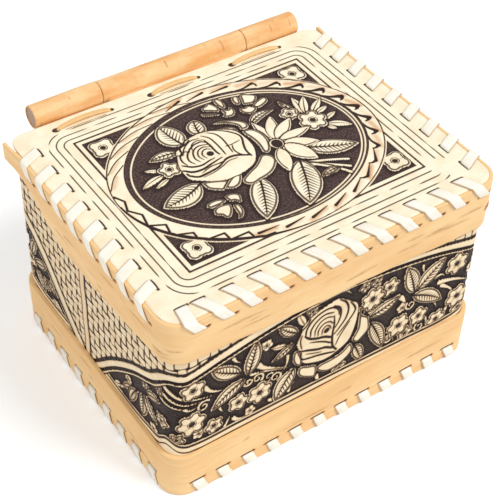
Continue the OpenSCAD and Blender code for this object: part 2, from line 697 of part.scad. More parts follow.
// Lower edge of the skirt along a side, as a height at y
function skirt_side_low(y, drop_front) =
    let (front = corner_r - half_d, rise_to = panel_back_y - skirt_level_length,
        rise_from = rise_to - skirt_rise_length)
    box_h - drop_front
        + (drop_front - skirt_drop_side) * ease((y - front) / -front)
        + (skirt_drop_side - skirt_drop_end) * ease((y - rise_from) / skirt_rise_length);

// What is cut away below the skirt's lower edge on one side, behind the front corners
module skirt_side_cut(side, drop_front) {
    front = corner_r - half_d - over / 2;
    steps = 24;
    length = skirt_end_y + over - front;
    translate([side < 0 ? -half_w - over : 0, 0, 0]) rotate([90, 0, 90])
        linear_extrude(half_w + over) polygon(concat(
            [[front + length, 0], [front, 0]],
            [for (k = [0 : steps]) let (y = front + length * k / steps)
                [y, skirt_side_low(y, drop_front)]]));
}

module skirt_front_cut() {
    translate([0, corner_r - half_d, 0]) rotate([90, 0, 0]) linear_extrude(corner_r + over)
        polygon([[-half_w - over, 0], [half_w + over, 0],
            [half_w + over, box_h - skirt_drop_right], [half_w, box_h - skirt_drop_right],
            [-half_w, box_h - skirt_drop_left], [-half_w - over, box_h - skirt_drop_left]]);
}

// The skirt: one strip bent round left, front and right, open at the hinge
module lid_skirt() color(BARK) difference() {
    linear_extrude(skirt_top) difference() {
        sheet(half_w, -half_d, half_d + corner_r, corner_r, corner_r);
        sheet(skirt_in_w, -skirt_in_d, half_d + corner_r + over, corner_r - skirt_t, over);
        translate([-box_w, skirt_end_y]) square([2 * box_w, box_d]);
    }
    skirt_front_cut();
    skirt_side_cut(-1, skirt_drop_left);
    skirt_side_cut(1, skirt_drop_right);
    all_lid_slits();
}

module lid_laces_front() color(LACE) lid_laces(FRONT, LID_FRONT);
module lid_laces_right() color(LACE) lid_laces(RIGHT, LID_RIGHT);
module lid_laces_left() color(LACE) lid_laces(LEFT, LID_LEFT);

// The lid's leaf lies between panel and lining; its two ends reach back
// past the panel's edge and roll round the dowel
module hinge_leaf_lid() color(HINGE) difference() {
    left_to = seam_left - pass_gap / 2;
    right_from = seam_right + pass_gap / 2;
    length = axle_y - dowel_r / 2 - leaf_front_y;
    union() {
        loop_body(loops_left, left_to, loop_r);
        loop_body(right_from, loops_right, loop_r);
        translate([0, leaf_front_y, lining_low]) linear_extrude(lining_t) {
            translate([loops_left + leaf_inset, 0])
                square([left_to - loops_left - leaf_inset, length]);
            translate([right_from, 0])
                square([loops_right - leaf_inset - right_from, length]);
            translate([left_to - over, 0])
                square([right_from - left_to + 2 * over, leaf_depth - leaf_web_back]);
        }
    }
    loop_body(loops_left - over, loops_right + over, dowel_r + loop_clearance);
    lid_stitch_legs(true);
}

// Legs of the running stitch through panel and leaf
module lid_stitch_legs(slits = false) {
    depth = panel_t + lining_t + (slits ? over : 0);
    for (x = stitch_xs) translate([x - lace_t / 2, stitch_y - stitch_w / 2, box_h - depth])
        cube([lace_t, stitch_w, depth + (slits ? over : 0)]);
}

// One thin lace sewn along the back border: on top, under, on top, under, on top
module hinge_leaf_lid_stitch() color(BARK) {
    lid_stitch_legs();
    for (k = [0 : len(stitch_xs) - 2]) {
        from = stitch_xs[k] - lace_t / 2;
        to = stitch_xs[k + 1] + lace_t / 2;
        translate([from, stitch_y - stitch_w / 2, k % 2 == 0 ? box_h : lining_low - lace_t])
            cube([to - from, stitch_w, lace_t]);
    }
}

bottom_panel();
floor_lining();
wall_liner();
wall_wrap();
foot_band();
foot_laces_front();
foot_laces_right();
foot_laces_back();
foot_laces_left();
foot_seam_lace();
hinge_leaf_box();
hinge_leaf_box_stitch();
hinge_dowel();
lid_panel();
lid_lining();
lid_skirt();
lid_laces_front();
lid_laces_right();
lid_laces_left();
hinge_leaf_lid();
hinge_leaf_lid_stitch();
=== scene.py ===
import math

import bmesh
import bpy
import numpy as np
from mathutils import Matrix, Vector


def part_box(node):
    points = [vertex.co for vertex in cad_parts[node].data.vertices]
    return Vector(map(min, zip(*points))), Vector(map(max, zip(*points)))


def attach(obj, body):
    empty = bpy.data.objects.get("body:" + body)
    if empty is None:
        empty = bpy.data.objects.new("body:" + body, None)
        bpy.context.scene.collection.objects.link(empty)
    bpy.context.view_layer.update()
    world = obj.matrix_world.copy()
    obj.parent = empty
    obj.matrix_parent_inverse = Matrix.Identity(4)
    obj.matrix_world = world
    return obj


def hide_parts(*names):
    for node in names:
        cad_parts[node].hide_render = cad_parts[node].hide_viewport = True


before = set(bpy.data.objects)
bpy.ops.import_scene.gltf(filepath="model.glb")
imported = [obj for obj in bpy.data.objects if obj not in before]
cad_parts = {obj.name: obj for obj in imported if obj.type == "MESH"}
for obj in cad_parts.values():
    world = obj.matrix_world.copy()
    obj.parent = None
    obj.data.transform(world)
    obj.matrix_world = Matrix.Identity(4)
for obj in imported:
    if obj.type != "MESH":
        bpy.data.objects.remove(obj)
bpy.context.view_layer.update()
mm = 0.001


# ---------------------------------------------------------------- camera
# The photograph looks down over the front left corner through a long lens,
# turned a little on its axis. The aim point is on the box's middle.
azimuth, elevation, roll = -35.61, 43.67, 2.02
aim = Vector((2.56, 1.37, 60)) * mm
distance = 694.2 * mm
turn, rise, tip = math.radians(azimuth), math.radians(elevation), math.radians(roll)
back = Vector((math.sin(turn) * math.cos(rise), -math.cos(turn) * math.cos(rise), math.sin(rise)))
right = (-back).cross(Vector((0, 0, 1))).normalized()
upward = right.cross(-back)
side_on = math.cos(tip) * right + math.sin(tip) * upward
top_on = math.cos(tip) * upward - math.sin(tip) * right
camera = bpy.data.objects.new("camera", bpy.data.cameras.new("camera"))
bpy.context.scene.collection.objects.link(camera)
camera.data.lens = 90
camera.data.sensor_width = 36
camera.data.clip_start = 0.01
camera.matrix_world = Matrix((side_on, top_on, back)).transposed().to_4x4()
camera.location = aim + back * distance
bpy.context.scene.camera = camera
bpy.context.scene.view_settings.view_transform = "Standard"


# ---------------------------------------------------------------- table and light
# A white table under an even sky, one broad soft lamp high on the right in
# front and a weak wide one low on the left. The table is plain white to the
# eye and keeps the box's shadow.
class Wire:
    """One socket of a material. Sums and products of wires add Math nodes."""

    def __init__(self, tree, socket=None):
        self.tree, self.socket = tree, socket

    def node(self, kind, inputs=(), out=0, **settings):
        """Adds a node: its settings first, then its inputs, by place or by name."""
        made = self.tree.nodes.new("ShaderNode" + kind)
        for name, value in settings.items():
            setattr(made, name, value)
        pairs = inputs.items() if isinstance(inputs, dict) else enumerate(inputs)
        for place, value in pairs:
            if isinstance(value, Wire):
                self.tree.links.new(value.socket, made.inputs[place])
            else:
                made.inputs[place].default_value = value
        return Wire(self.tree, made.outputs[out])

    def math(self, operation, *values):
        return self.node("Math", values, operation=operation)

    def __add__(self, other):
        return self.math("ADD", self, other)

    def __sub__(self, other):
        return self.math("SUBTRACT", self, other)

    def __rsub__(self, other):
        return self.math("SUBTRACT", other, self)

    def __mul__(self, other):
        return self.math("MULTIPLY", self, other)

    __radd__, __rmul__ = __add__, __mul__

    def held(self):
        """Kept between 0 and 1."""
        return self.node("Math", (self, 0), operation="ADD", use_clamp=True)

    def step(self, low, high):
        """0 at low, 1 at high, eased between."""
        return self.node("MapRange", {0: self, 1: low, 2: high}, interpolation_type="SMOOTHSTEP")

    def field(self, name):
        """A value that the mesh carries at its points."""
        return self.node("Attribute", out=2, attribute_name=name)

    def place(self, along, up, deep=0.0):
        """Three values as one place."""
        return self.node("CombineXYZ", (along, up, deep))

    def noise(self, where, scale, detail=3.0, rough=0.55):
        """Cloudy values from 0 to 1, about 0.5."""
        inputs = {"Vector": where, "Scale": scale, "Detail": detail, "Roughness": rough}
        return self.node("TexNoise", inputs)

    def mix(self, share, one, other):
        """One colour at share 0, the other at share 1."""
        return self.node("Mix", {0: share, 6: one, 7: other}, out=2, data_type="RGBA")


def shade(red, green, blue):
    """A colour as seen, 0 to 255, for a node."""
    linear = [((c / 255 + 0.055) / 1.055) ** 2.4 if c > 10 else c / 3295 for c in (red, green, blue)]
    return (*linear, 1)


def new_material(name):
    made = bpy.data.materials.new(name)
    made.use_nodes = True
    return made, Wire(made.node_tree)


def dress(made, colour, roughness, height=None, depth=0.0, gloss=0.3):
    """Wires a surface: colour, roughness, and a height in metres of depth."""
    shader = made.node_tree.nodes["Principled BSDF"]
    wire = Wire(made.node_tree)
    for name, value in (("Base Color", colour), ("Roughness", roughness)):
        if isinstance(value, Wire):
            made.node_tree.links.new(value.socket, shader.inputs[name])
        else:
            shader.inputs[name].default_value = value
    shader.inputs["Specular IOR Level"].default_value = gloss
    if height is not None:
        bump = wire.node("Bump", {"Strength": 1.0, "Distance": depth, "Height": height})
        made.node_tree.links.new(bump.socket, shader.inputs["Normal"])
    return made


def in_view(w):
    """1 for what the camera sees, straight or in a gloss, and 0 for what lights other things."""
    return (w.node("LightPath", out=0) + w.node("LightPath", out=3)).held()


table_size = 3.0
table = bpy.data.meshes.new("table")
table.from_pydata([(x * table_size, y * table_size, 0) for x, y in ((-1, -1), (1, -1), (1, 1), (-1, 1))],
                  [], [(0, 1, 2, 3)])
table_object = bpy.data.objects.new("table", table)
bpy.context.scene.collection.objects.link(table_object)
table_white, w = new_material("table_white")
seen = in_view(w)
cloud = w.noise(w.node("TexCoord", out=3), 8.0)
white_lit, white_seen = (0.80, 0.80, 0.80, 1), (0.955, 0.978, 1.0, 1)
dress(table_white, w.mix(seen, white_lit, white_seen), cloud * 0.1 + 0.85)
plain = table_white.node_tree.nodes["Principled BSDF"]
glow = w.node("Emission", {"Color": (1, 1, 1, 1), "Strength": 0.24})
lifted = w.node("AddShader", (Wire(table_white.node_tree, plain.outputs[0]), glow))
chosen = w.node("MixShader", {0: seen, 1: Wire(table_white.node_tree, plain.outputs[0]), 2: lifted})
table_white.node_tree.links.new(chosen.socket, table_white.node_tree.nodes["Material Output"].inputs[0])
table.materials.append(table_white)

sky = bpy.data.worlds.new("sky")
sky.use_nodes = True
w = Wire(sky.node_tree)
sky_light = w.node("Background", {"Color": (1.0, 0.99, 0.97, 1), "Strength": 0.62})
sky_seen = w.node("Background", {"Color": (1, 1, 1, 1), "Strength": 1.0})
both = w.node("MixShader", {0: in_view(w), 1: sky_light, 2: sky_seen})
sky.node_tree.links.new(both.socket, sky.node_tree.nodes["World Output"].inputs[0])
bpy.context.scene.world = sky

for name, energy, spread_angle, towards in (("lamp", 1.58, 24, (0.55, -0.75, 1.15)),
                                            ("fill", 0.5, 50, (-1.0, -0.15, 0.4))):
    lamp = bpy.data.objects.new(name, bpy.data.lights.new(name, "SUN"))
    lamp.data.energy = energy
    lamp.data.angle = math.radians(spread_angle)
    lamp.rotation_euler = Vector(towards).to_track_quat("Z", "Y").to_euler()
    bpy.context.scene.collection.objects.link(lamp)


# ---------------------------------------------------------------- bottom and lining sheets
# Thin sheets of plain bark, inner side out: the bottom, the floor's lining,
# the inner strip of the walls and the lid's lining. They keep their CAD shape.
def bark_grain(w, along, up):
    """Cloudy tone, fine streaks and thin dashes of plain bark, each 0 to 1."""
    tone = w.noise(w.place(along * 18, up * 55), 1.0, 4.0)
    streak = w.noise(w.place(along * 60, up * 900), 1.0, 3.0)
    dash = w.noise(w.place(along * 42, up * 620, 3.1), 1.0, 1.0, 0.3).step(0.665, 0.72)
    return tone, streak, dash


def plain_bark(name, flat):
    """Plain inner bark, its grain along the wall or, where flat, along the sheet."""
    light, deep = shade(240, 206, 158), shade(222, 180, 128)
    made, w = new_material(name)
    spot = w.node("TexCoord", out=3)
    x, y, z = (w.node("SeparateXYZ", (spot,), out=k) for k in range(3))
    tone, streak, dash = bark_grain(w, x if flat else x + 0.3 * y, y if flat else z)
    colour = w.mix(tone.step(0.3, 0.72), light, deep)
    colour = w.mix(streak.step(0.45, 0.8) * 0.25, colour, deep)
    colour = w.mix(dash * 0.5, colour, shade(170, 120, 78))
    height = streak * 0.6 - dash * 0.8 + tone * 0.4
    return dress(made, colour, tone * 0.2 + 0.5, height, 0.0004)


inner_bark, flat_bark = plain_bark("inner_bark", False), plain_bark("flat_bark", True)
for name, material in (("bottom_panel", flat_bark), ("floor_lining", flat_bark), ("lid_lining", flat_bark),
                       ("wall_liner", inner_bark)):
    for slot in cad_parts[name].material_slots:
        slot.material = material


# ---------------------------------------------------------------- wall wrap
# The outer strip of the walls: bark tooled with roses, leaves and a weave,
# its ground stained dark. It is modelled in two stretches of one strip.
def smooth(t):
    """0 up to 0, 1 from 1, eased between."""
    t = np.clip(t, 0, 1)
    return t * t * (3 - 2 * t)


def flow(x, knots):
    """A smooth line through knots, each an x and a height."""
    px, py = np.array(knots, float).T
    slope = np.gradient(py, px)
    k = np.clip(np.searchsorted(px, x) - 1, 0, len(px) - 2)
    h = px[k + 1] - px[k]
    t = np.clip((x - px[k]) / h, 0, 1)
    ends = (1 + 2 * t) * (1 - t) ** 2 * py[k] + t * t * (3 - 2 * t) * py[k + 1]
    return ends + h * (t * (1 - t) ** 2 * slope[k] + t * t * (t - 1) * slope[k + 1])


def bend(points):
    """Places along a curve that leans towards its middle point."""
    t = np.linspace(0, 1, 17)[:, None]
    a, b, c = np.array(points, float)
    return (1 - t) ** 2 * a + 2 * t * (1 - t) * b + t * t * c


def through(points, closed=False):
    """A smooth line through its points, as more points."""
    p = np.array(points, float)
    before, after = (p[-1:], p[:2]) if closed else (2 * p[:1] - p[1:2], 2 * p[-1:] - p[-2:-1])
    p = np.concatenate([before, p, after])
    t = np.linspace(0, 1, 6, endpoint=False)[:, None]
    parts = [b + (c - a) / 2 * t + (a - 2.5 * b + 2 * c - d / 2) * t ** 2
             + (1.5 * (b - c) + (d - a) / 2) * t ** 3 for a, b, c, d in zip(p, p[1:], p[2:], p[3:])]
    return np.concatenate([*parts, p[-2:-1]])


class Tooling:
    """Tooled bark over places in mm. ink is the distance to the nearest dark stain, below 0
    inside it, and inner the distance to a fine line within a figure. stroke counts hatch lines,
    share is how wide they are, near is the distance to a figure, warm how orange the bark is,
    on the lid's collar painted shade beside its cuts, and rise its height over the plain sheet."""

    far = 6.0
    rest = {"ink": far, "inner": far, "stroke": 0.0, "share": 0.0, "near": 3.0, "warm": 0.0}
    bare_edge, marked_edge = 0.4, 0.12

    def __init__(self, x, y):
        self.x, self.y = x, y
        self.rise = np.zeros(x.shape)
        for name, value in self.rest.items():
            setattr(self, name, np.full(x.shape, value))

    def put(self, where, **values):
        """Sets values in some places."""
        for name, value in values.items():
            setattr(self, name, np.where(where, value, getattr(self, name)))

    def turned(self, centre, turn):
        """Places as seen from a centre, with x along a turn in degrees."""
        c, s = math.cos(math.radians(turn)), math.sin(math.radians(turn))
        dx, dy = self.x - centre[0], self.y - centre[1]
        return dx * c + dy * s, dy * c - dx * s

    def oval(self, centre, long, short):
        """Distance to an oval of two half lengths, below 0 inside it."""
        px, py = self.x - centre[0], self.y - centre[1]
        near = np.hypot(px / long, py / short)
        slope = np.hypot(px / long ** 2, py / short ** 2)
        return near * (near - 1) / np.maximum(slope, 1e-6)

    def away(self, line, half=0.0):
        """Distance to a line of points, less its half width at each."""
        low, high = line.min(0) - 4, line.max(0) + 4
        near = (self.x > low[0]) & (self.x < high[0]) & (self.y > low[1]) & (self.y < high[1])
        px, py = self.x[near], self.y[near]
        best = np.full(px.shape, self.far)
        halves = np.broadcast_to(half, len(line))
        for (ax, ay), (bx, by), wide in zip(line, line[1:], halves):
            vx, vy = bx - ax, by - ay
            t = np.clip(((px - ax) * vx + (py - ay) * vy) / (vx * vx + vy * vy + 1e-9), 0, 1)
            best = np.minimum(best, np.hypot(px - ax - t * vx, py - ay - t * vy) - wide)
        full = np.full(self.x.shape, self.far)
        full[near] = best
        return full

    def shape(self, points):
        """Distance to a smooth closed outline through points, below 0 inside it."""
        line = through(points, closed=True)
        odd = np.zeros(self.x.shape, bool)
        for (ax, ay), (bx, by) in zip(line, line[1:]):
            if ay != by:
                passed = self.x < ax + (bx - ax) * (self.y - ay) / (by - ay)
                odd ^= ((ay > self.y) != (by > self.y)) & passed
        edge = self.away(line)
        return np.where(odd, -edge, edge)

    def stain(self, edge, depth=0.6, wide=0.8, start=0.5):
        """Stains where edge is below 0, and presses the bark down from start times wide on."""
        self.ink = np.minimum(self.ink, edge)
        self.rise -= depth * smooth(start - edge / wide)

    def score(self, away, width=0.7, depth=0.25):
        """A stained line, where away is the distance to its middle."""
        self.ink = np.minimum(self.ink, np.abs(away) - width / 2)
        self.rise -= depth * np.exp(-(away / width) ** 2)

    def clear(self, inside):
        """Plain light sheet where inside is below 0."""
        self.put(inside < 0, rise=0.0, **self.rest)

    def place(self, edge, lines=(), height=0.45, soft=1.6, **fine):
        """A light raised figure where edge is below 0, with its outline, lines and fine marks."""
        marks = -edge - self.marked_edge
        for line in lines:
            marks = np.minimum(marks, line)
        dome = height * np.sqrt(np.clip(-edge / soft, 0, 1)) - 0.1 - 0.22 * smooth(1 - marks / 0.5)
        figure = dict(self.rest, ink=marks, rise=dome, near=0.0) | fine
        ink, near = np.minimum(self.ink, edge - self.bare_edge), np.minimum(self.near, edge)
        self.put(edge >= 0, ink=ink, near=near)
        self.put(edge < 0, **figure)

    def cut(self, start, end, points):
        """A stained stroke along a smooth line through points, of a width at start and end."""
        line = through(points)
        fine_ends = 1 - 0.5 * np.abs(np.linspace(-1, 1, len(line))) ** 4
        self.stain(self.away(line, np.linspace(start, end, len(line)) / 2 * fine_ends), 0.22, 0.7, 1)

    def petal(self, points, rim=1.1):
        """A petal within a smooth outline, with a fine line rim mm inside it."""
        edge = self.shape(points)
        self.place(edge, height=0.42, inner=(-edge - rim) * 0.62 if rim else self.far)

    def band(self, away, width):
        """A light raised band, where away is the distance to its middle."""
        self.place(np.abs(away) - width / 2, height=0.3)

    def leaf(self, base, tip, width, bow=0.0, veins=0, rim=1.25, plain=False):
        """A pointed leaf with a light rim and dark midrib. veins is the side of its long hatching.
        A plain one has a rim on that side alone, and no midrib."""
        dx, dy = tip[0] - base[0], tip[1] - base[1]
        length = math.hypot(dx, dy)
        along, side = self.turned(base, math.degrees(math.atan2(dy, dx)))
        reach = np.clip(along / length, 0, 1)
        side = side - bow * 4 * reach * (1 - reach)
        skewed = np.where((along > 0) & (along < length), length * reach ** 0.86, along)
        radius = (length ** 2 + width ** 2) / 4 / width
        edge = np.hypot(skewed - length / 2, np.abs(side) + radius - width / 2) - radius
        body = -edge - rim * min(1, 0.5 + width / 20)
        if plain:
            self.place(edge, inner=np.where(side * veins > 0, body, self.far), soft=2.4)
            return
        pitch = 2.3
        depth = np.abs(side) / np.maximum(np.abs(side) - edge, 0.1)
        length_share = np.where(side * veins >= 0, 0.95, 0.5)
        share = 0.21 * np.clip(1.25 - 1.25 * depth / length_share, 0, 1)
        wide = width > 5.2
        share = np.where((body > 0.3) & (reach > 0.14) & (reach < 0.88), share, 0.0) if wide else 0.0
        midrib = np.abs(side) - (0.6 - 0.42 * reach) * min(1, width / 9)
        self.place(edge, (np.where(reach < 0.9, midrib, self.far),), inner=body * 0.62 if wide else self.far,
                   stroke=(along - 0.8 * np.abs(side)) / pitch, share=share)

    def flower(self, centre, radius, petals=5, turn=0, eye=0.2):
        """A small open flower with round petals, a light rim and a dark eye."""
        px, py = self.turned(centre, turn)
        away, angle = np.hypot(px, py), np.arctan2(py, px)
        part = 2 * math.pi / petals
        fold = (angle + part / 2) % part - part / 2
        lx, ly = away * np.cos(fold), away * np.sin(fold)
        lobe = radius * math.sin(part / 2) * 1.12 / (1 + math.sin(part / 2))
        edge = np.minimum(np.hypot(lx - radius + lobe, ly) - lobe, away - 0.8 * radius)
        rim = 1.2 if radius > 5 else 0.85
        notch = away * np.sin(part / 2 - np.abs(fold)) - 0.3 * smooth((away / radius - 0.62) * 5)
        fine = (-edge - rim) * 0.72 if radius > 4.3 else self.far
        ring = np.abs(away - eye * radius - 0.75)
        self.place(edge, (away - eye * radius, notch), inner=np.where(ring < 0.5, ring, fine), height=0.42)

    def strip(self, points, width, taper=1.0):
        """A light tapering strip along a bent line."""
        curve = bend(points)
        half = width * 0.66 * (1 - 0.75 * taper * np.linspace(0, 1, len(curve)))
        self.place(self.away(curve, half), height=0.35, soft=0.8)

    def curl(self, centre, radius, turn):
        """A small scroll: a light strip wound inwards."""
        t = np.linspace(0, 1, 22)
        angle = math.radians(turn) + 8.2 * t
        reach = radius * (1.6 - 1.3 * t)
        line = np.array(centre) + np.stack([reach * np.cos(angle), reach * np.sin(angle)], -1)
        self.place(self.away(line, 0.95 - 0.3 * t), height=0.35, soft=0.8)

    def weave(self, inside):
        """A basket weave of flat strands where inside is below 0."""
        wide, high = 5.9, 6.0
        x = self.x + 0.35 * np.sin(self.y / 7.3)
        y = self.y + 0.35 * np.sin(self.x / 8.1)
        col, row = np.floor(x / wide), np.floor(y / high)
        px, py = (x / wide - col - 0.5) * wide, (y / high - row - 0.5) * high
        lies = (col + row) % 2 == 0
        across = np.where(lies, high / 2 - np.abs(py), wide / 2 - np.abs(px)) - 0.3
        along = np.where(lies, np.abs(px) / wide, np.abs(py) / high)
        rise = 0.2 * np.cos(math.pi * along) - 0.4 * smooth(0.5 - across / 0.7)
        corner = np.hypot(wide / 2 - np.abs(px), (high / 2 - np.abs(py)) * 1.3) - 0.95
        loose = np.sin(col * 12.9 + row * 78.2) * 0.35 - 0.1
        ink = np.minimum(corner + loose, -inside)
        strands = dict(self.rest, ink=ink, inner=across * 0.5, rise=rise, near=0.0, warm=0.12)
        self.put(inside < 0, **strands)


wrap_low, wrap_high = (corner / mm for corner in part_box("wall_wrap"))
wall_radius = 10.4
wall_round = 4 * (wrap_high.x + wrap_high.y - 2 * wall_radius) + 2 * math.pi * wall_radius
half_round = wall_round / 2
seam_run = -(wall_round / 4 + 4)
foot_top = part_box("foot_band")[1].z / mm


def lengths(x, y):
    """The length of a line from its start to each of its points."""
    return np.concatenate([[0], np.cumsum(np.hypot(np.diff(x), np.diff(y)))])


def outline(half, front, behind, radius):
    """A rounded outline as rows of run, place and outward direction. run is the distance
    in mm from the middle of the front, to the right."""
    rows, steps = [], 24
    for k, (sx, y) in enumerate(((1, front), (1, behind), (-1, behind), (-1, front))):
        middle = (sx * (half - radius), y + (radius if y < 0 else -radius))
        for s in range(steps + 1):
            turn = math.radians(90 * (k - 1 + s / steps))
            out = (math.cos(turn), math.sin(turn))
            rows.append((middle[0] + radius * out[0], middle[1] + radius * out[1], *out))
    rows = np.array([(0, front, 0, -1), *rows, (0, front, 0, -1)])
    return np.column_stack([lengths(rows[:, 0], rows[:, 1]), rows])


def along_outline(line, run, out):
    """Places at a run along an outline, out mm outside it."""
    at = np.mod(run, line[-1, 0])
    x, y, nx, ny = (np.interp(at, line[:, 0], line[:, k]) for k in range(1, 5))
    return x + nx * out, y + ny * out


def shell(loops, around=False, **fields):
    """A closed skin over loops of points in mm, one loop for each station. around joins
    the last station to the first, and otherwise both ends are closed."""
    stations, points = loops.shape[:2]
    index = np.arange(stations * points).reshape(stations, points)
    here = index if around else index[:-1]
    there = np.roll(index, -1, 0) if around else index[1:]
    quads = np.stack([here, np.roll(here, -1, 1), np.roll(there, -1, 1), there], -1)
    faces = quads.reshape(-1, 4).tolist()
    if not around:
        faces += [index[0][::-1].tolist(), index[-1].tolist()]
    full = {name: np.broadcast_to(value, (stations, points)).ravel() for name, value in fields.items()}
    return loops.reshape(-1, 3), faces, full


def solid(name, shells, material, body, slot, *nodes):
    """One piece made of shells, riding on its body in place of its CAD nodes."""
    points, faces, start = [], [], 0
    for places, polygons, _ in shells:
        points.append(places)
        faces += [[start + k for k in polygon] for polygon in polygons]
        start += len(places)
    mesh = bpy.data.meshes.new(name)
    mesh.from_pydata((np.concatenate(points) * mm).tolist(), [], faces)
    work = bmesh.new()
    work.from_mesh(mesh)
    bmesh.ops.recalc_face_normals(work, faces=work.faces)
    work.to_mesh(mesh)
    work.free()
    for field in shells[0][2]:
        values = np.concatenate([fields[field] for _, _, fields in shells])
        mesh.attributes.new(field, "FLOAT", "POINT").data.foreach_set("value", values.astype(np.float32))
    mesh.shade_smooth()
    mesh.set_sharp_from_angle(angle=math.radians(50))
    mesh.materials.append(material)
    piece = bpy.data.objects.new(f"{name}_bark", mesh)
    bpy.context.scene.collection.objects.link(piece)
    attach(piece, body)
    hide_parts(*nodes)
    return piece


def chart(piece, stations, points, heights):
    """A flat map for the piece's finish: stations across and heights up, one height
    for each point of a loop and one more where it closes. The two ends lie beside it."""
    mesh = piece.data
    vertex = np.empty(len(mesh.loops), np.int32)
    mesh.loops.foreach_get("vertex_index", vertex)
    sides = np.empty(len(mesh.polygons), np.int32)
    mesh.polygons.foreach_get("loop_total", sides)
    face = np.repeat(np.arange(len(sides)), sides)
    station, point = vertex // points, vertex % points
    closing = np.bincount(face, point == points - 1) > 0
    u = 0.98 * station / (stations - 1)
    v = np.where((point == 0) & closing[face], heights[points], heights[point])
    end = sides[face] > 4
    u = np.where(end, 0.985 + 0.01 * (station > 0) + 0.004 * (point > points - 3), u)
    flat = mesh.uv_layers.new(name="OFBake")
    flat.data.foreach_set("uv", np.stack([u, v], -1).astype(np.float32).ravel())


# the wall's picture in run and height: the rose's petals, its bloom and the folds cut in it, each with
# a width at its start and end, then strips, buds, leaves and flowers
WALL_PETALS = [
    ((14.2, 78.7), (16.8, 77), (17, 72.5), (21.3, 68.6), (22.7, 64), (22.9, 57.8), (18.6, 53.2),
     (15.1, 51.6), (11.5, 55.5), (14.5, 62), (14.7, 70)),
    ((-10.8, 47.4), (-9.6, 43.9), (-3.4, 40), (3.8, 40.3), (8.6, 42.6), (12.6, 46.2), (12.9, 50.6),
     (10.5, 54.1), (5.5, 50.2), (-1, 48.9), (-7, 48.9)),
    ((-22.4, 54), (-23, 50), (-21, 46.4), (-15.5, 42.6), (-11.4, 41), (-10.2, 45.6), (-11.2, 50.4),
     (-16.2, 52.8), (-19.9, 54.6)),
    ((-25.8, 69), (-27, 65.3), (-26.6, 61.2), (-24.5, 57.4), (-21.2, 55.6), (-20.4, 60.6), (-22.2, 66),
     (-23.4, 69.3)),
]
WALL_BLOOM = [
    (-21.6, 84.5), (-16.2, 89.1), (-8.7, 92), (0.9, 93), (8, 87.4), (13.2, 82.4), (14, 75), (13, 66.2),
    (9.7, 57), (2.2, 52.4), (-5, 50.8), (-13, 52.8), (-20, 57), (-22, 65.8), (-24.9, 73), (-22.6, 78.9),
]
WALL_FOLDS = [
    (0.7, 0.7, ((-9, 71.9), (-8.9, 75.2), (-6.6, 77.2), (-4.4, 75.9), (-3.4, 73.4))),
    (0.8, 0.8, ((-11.6, 72.6), (-11.4, 76.6), (-8.6, 79.6), (-4.6, 79.2), (-2.6, 76.8))),
    (0.8, 0.8, ((-13.6, 73.6), (-13.4, 78), (-10.6, 82), (-6.4, 83.2), (-2.4, 81.4))),
    (1, 1, ((-16.4, 74.8), (-16.2, 79.6), (-13, 84), (-8, 86.2), (-2.6, 84.8))),
    (1.3, 0.9, ((-19.4, 76.6), (-19, 81.6), (-15.4, 86.6), (-9.6, 89.2), (-3.8, 88.9), (0.2, 85.4),
     (1.2, 81))),
    (0.9, 0.9, ((-22, 82), (-18.6, 85.4), (-17.2, 87.6))),
    (1, 1.4, ((-2, 82), (-1.5, 76), (-1.9, 70), (-1.9, 64.3), (-1, 58.6), (1.8, 54.4))),
    (1.2, 0.8, ((-2.6, 89.6), (1.2, 86.2), (2.3, 81.4), (1.4, 76.4), (-0.8, 72.4))),
    (1.2, 0.9, ((0.9, 92), (5.2, 87.8), (7, 82), (5.8, 76), (2.2, 71), (-0.9, 67.6))),
    (1.1, 0.9, ((8, 86.4), (10.8, 82), (11.6, 78.6), (9.2, 74.4), (5, 69.4), (1.2, 65.6))),
    (0.7, 0.7, ((8.8, 72), (5.6, 67.8), (2.6, 63.2), (0.8, 58.6))),
    (1.3, 1.7, ((-20, 77), (-16.6, 73.4), (-12, 71), (-7, 69.3), (-2.4, 66.2))),
    (0.7, 1.1, ((-16.6, 70.4), (-12, 68.4), (-7, 65.6), (-2.4, 62))),
    (1.3, 1.6, ((-22.6, 67.4), (-17, 65), (-11, 62.2), (-5.8, 60.6), (-1.2, 57.4))),
    (1, 1.3, ((-21.4, 66), (-21, 60.6), (-16.8, 58.8), (-11, 57.4), (-6, 55.8), (0.6, 53.4))),
    (0.6, 0.6, ((-18.6, 63), (-13.4, 60.6), (-8.6, 58.8))),
    (0.7, 0.7, ((-21.6, 78.6), (-22.6, 74.4), (-21.4, 68.6))),
]
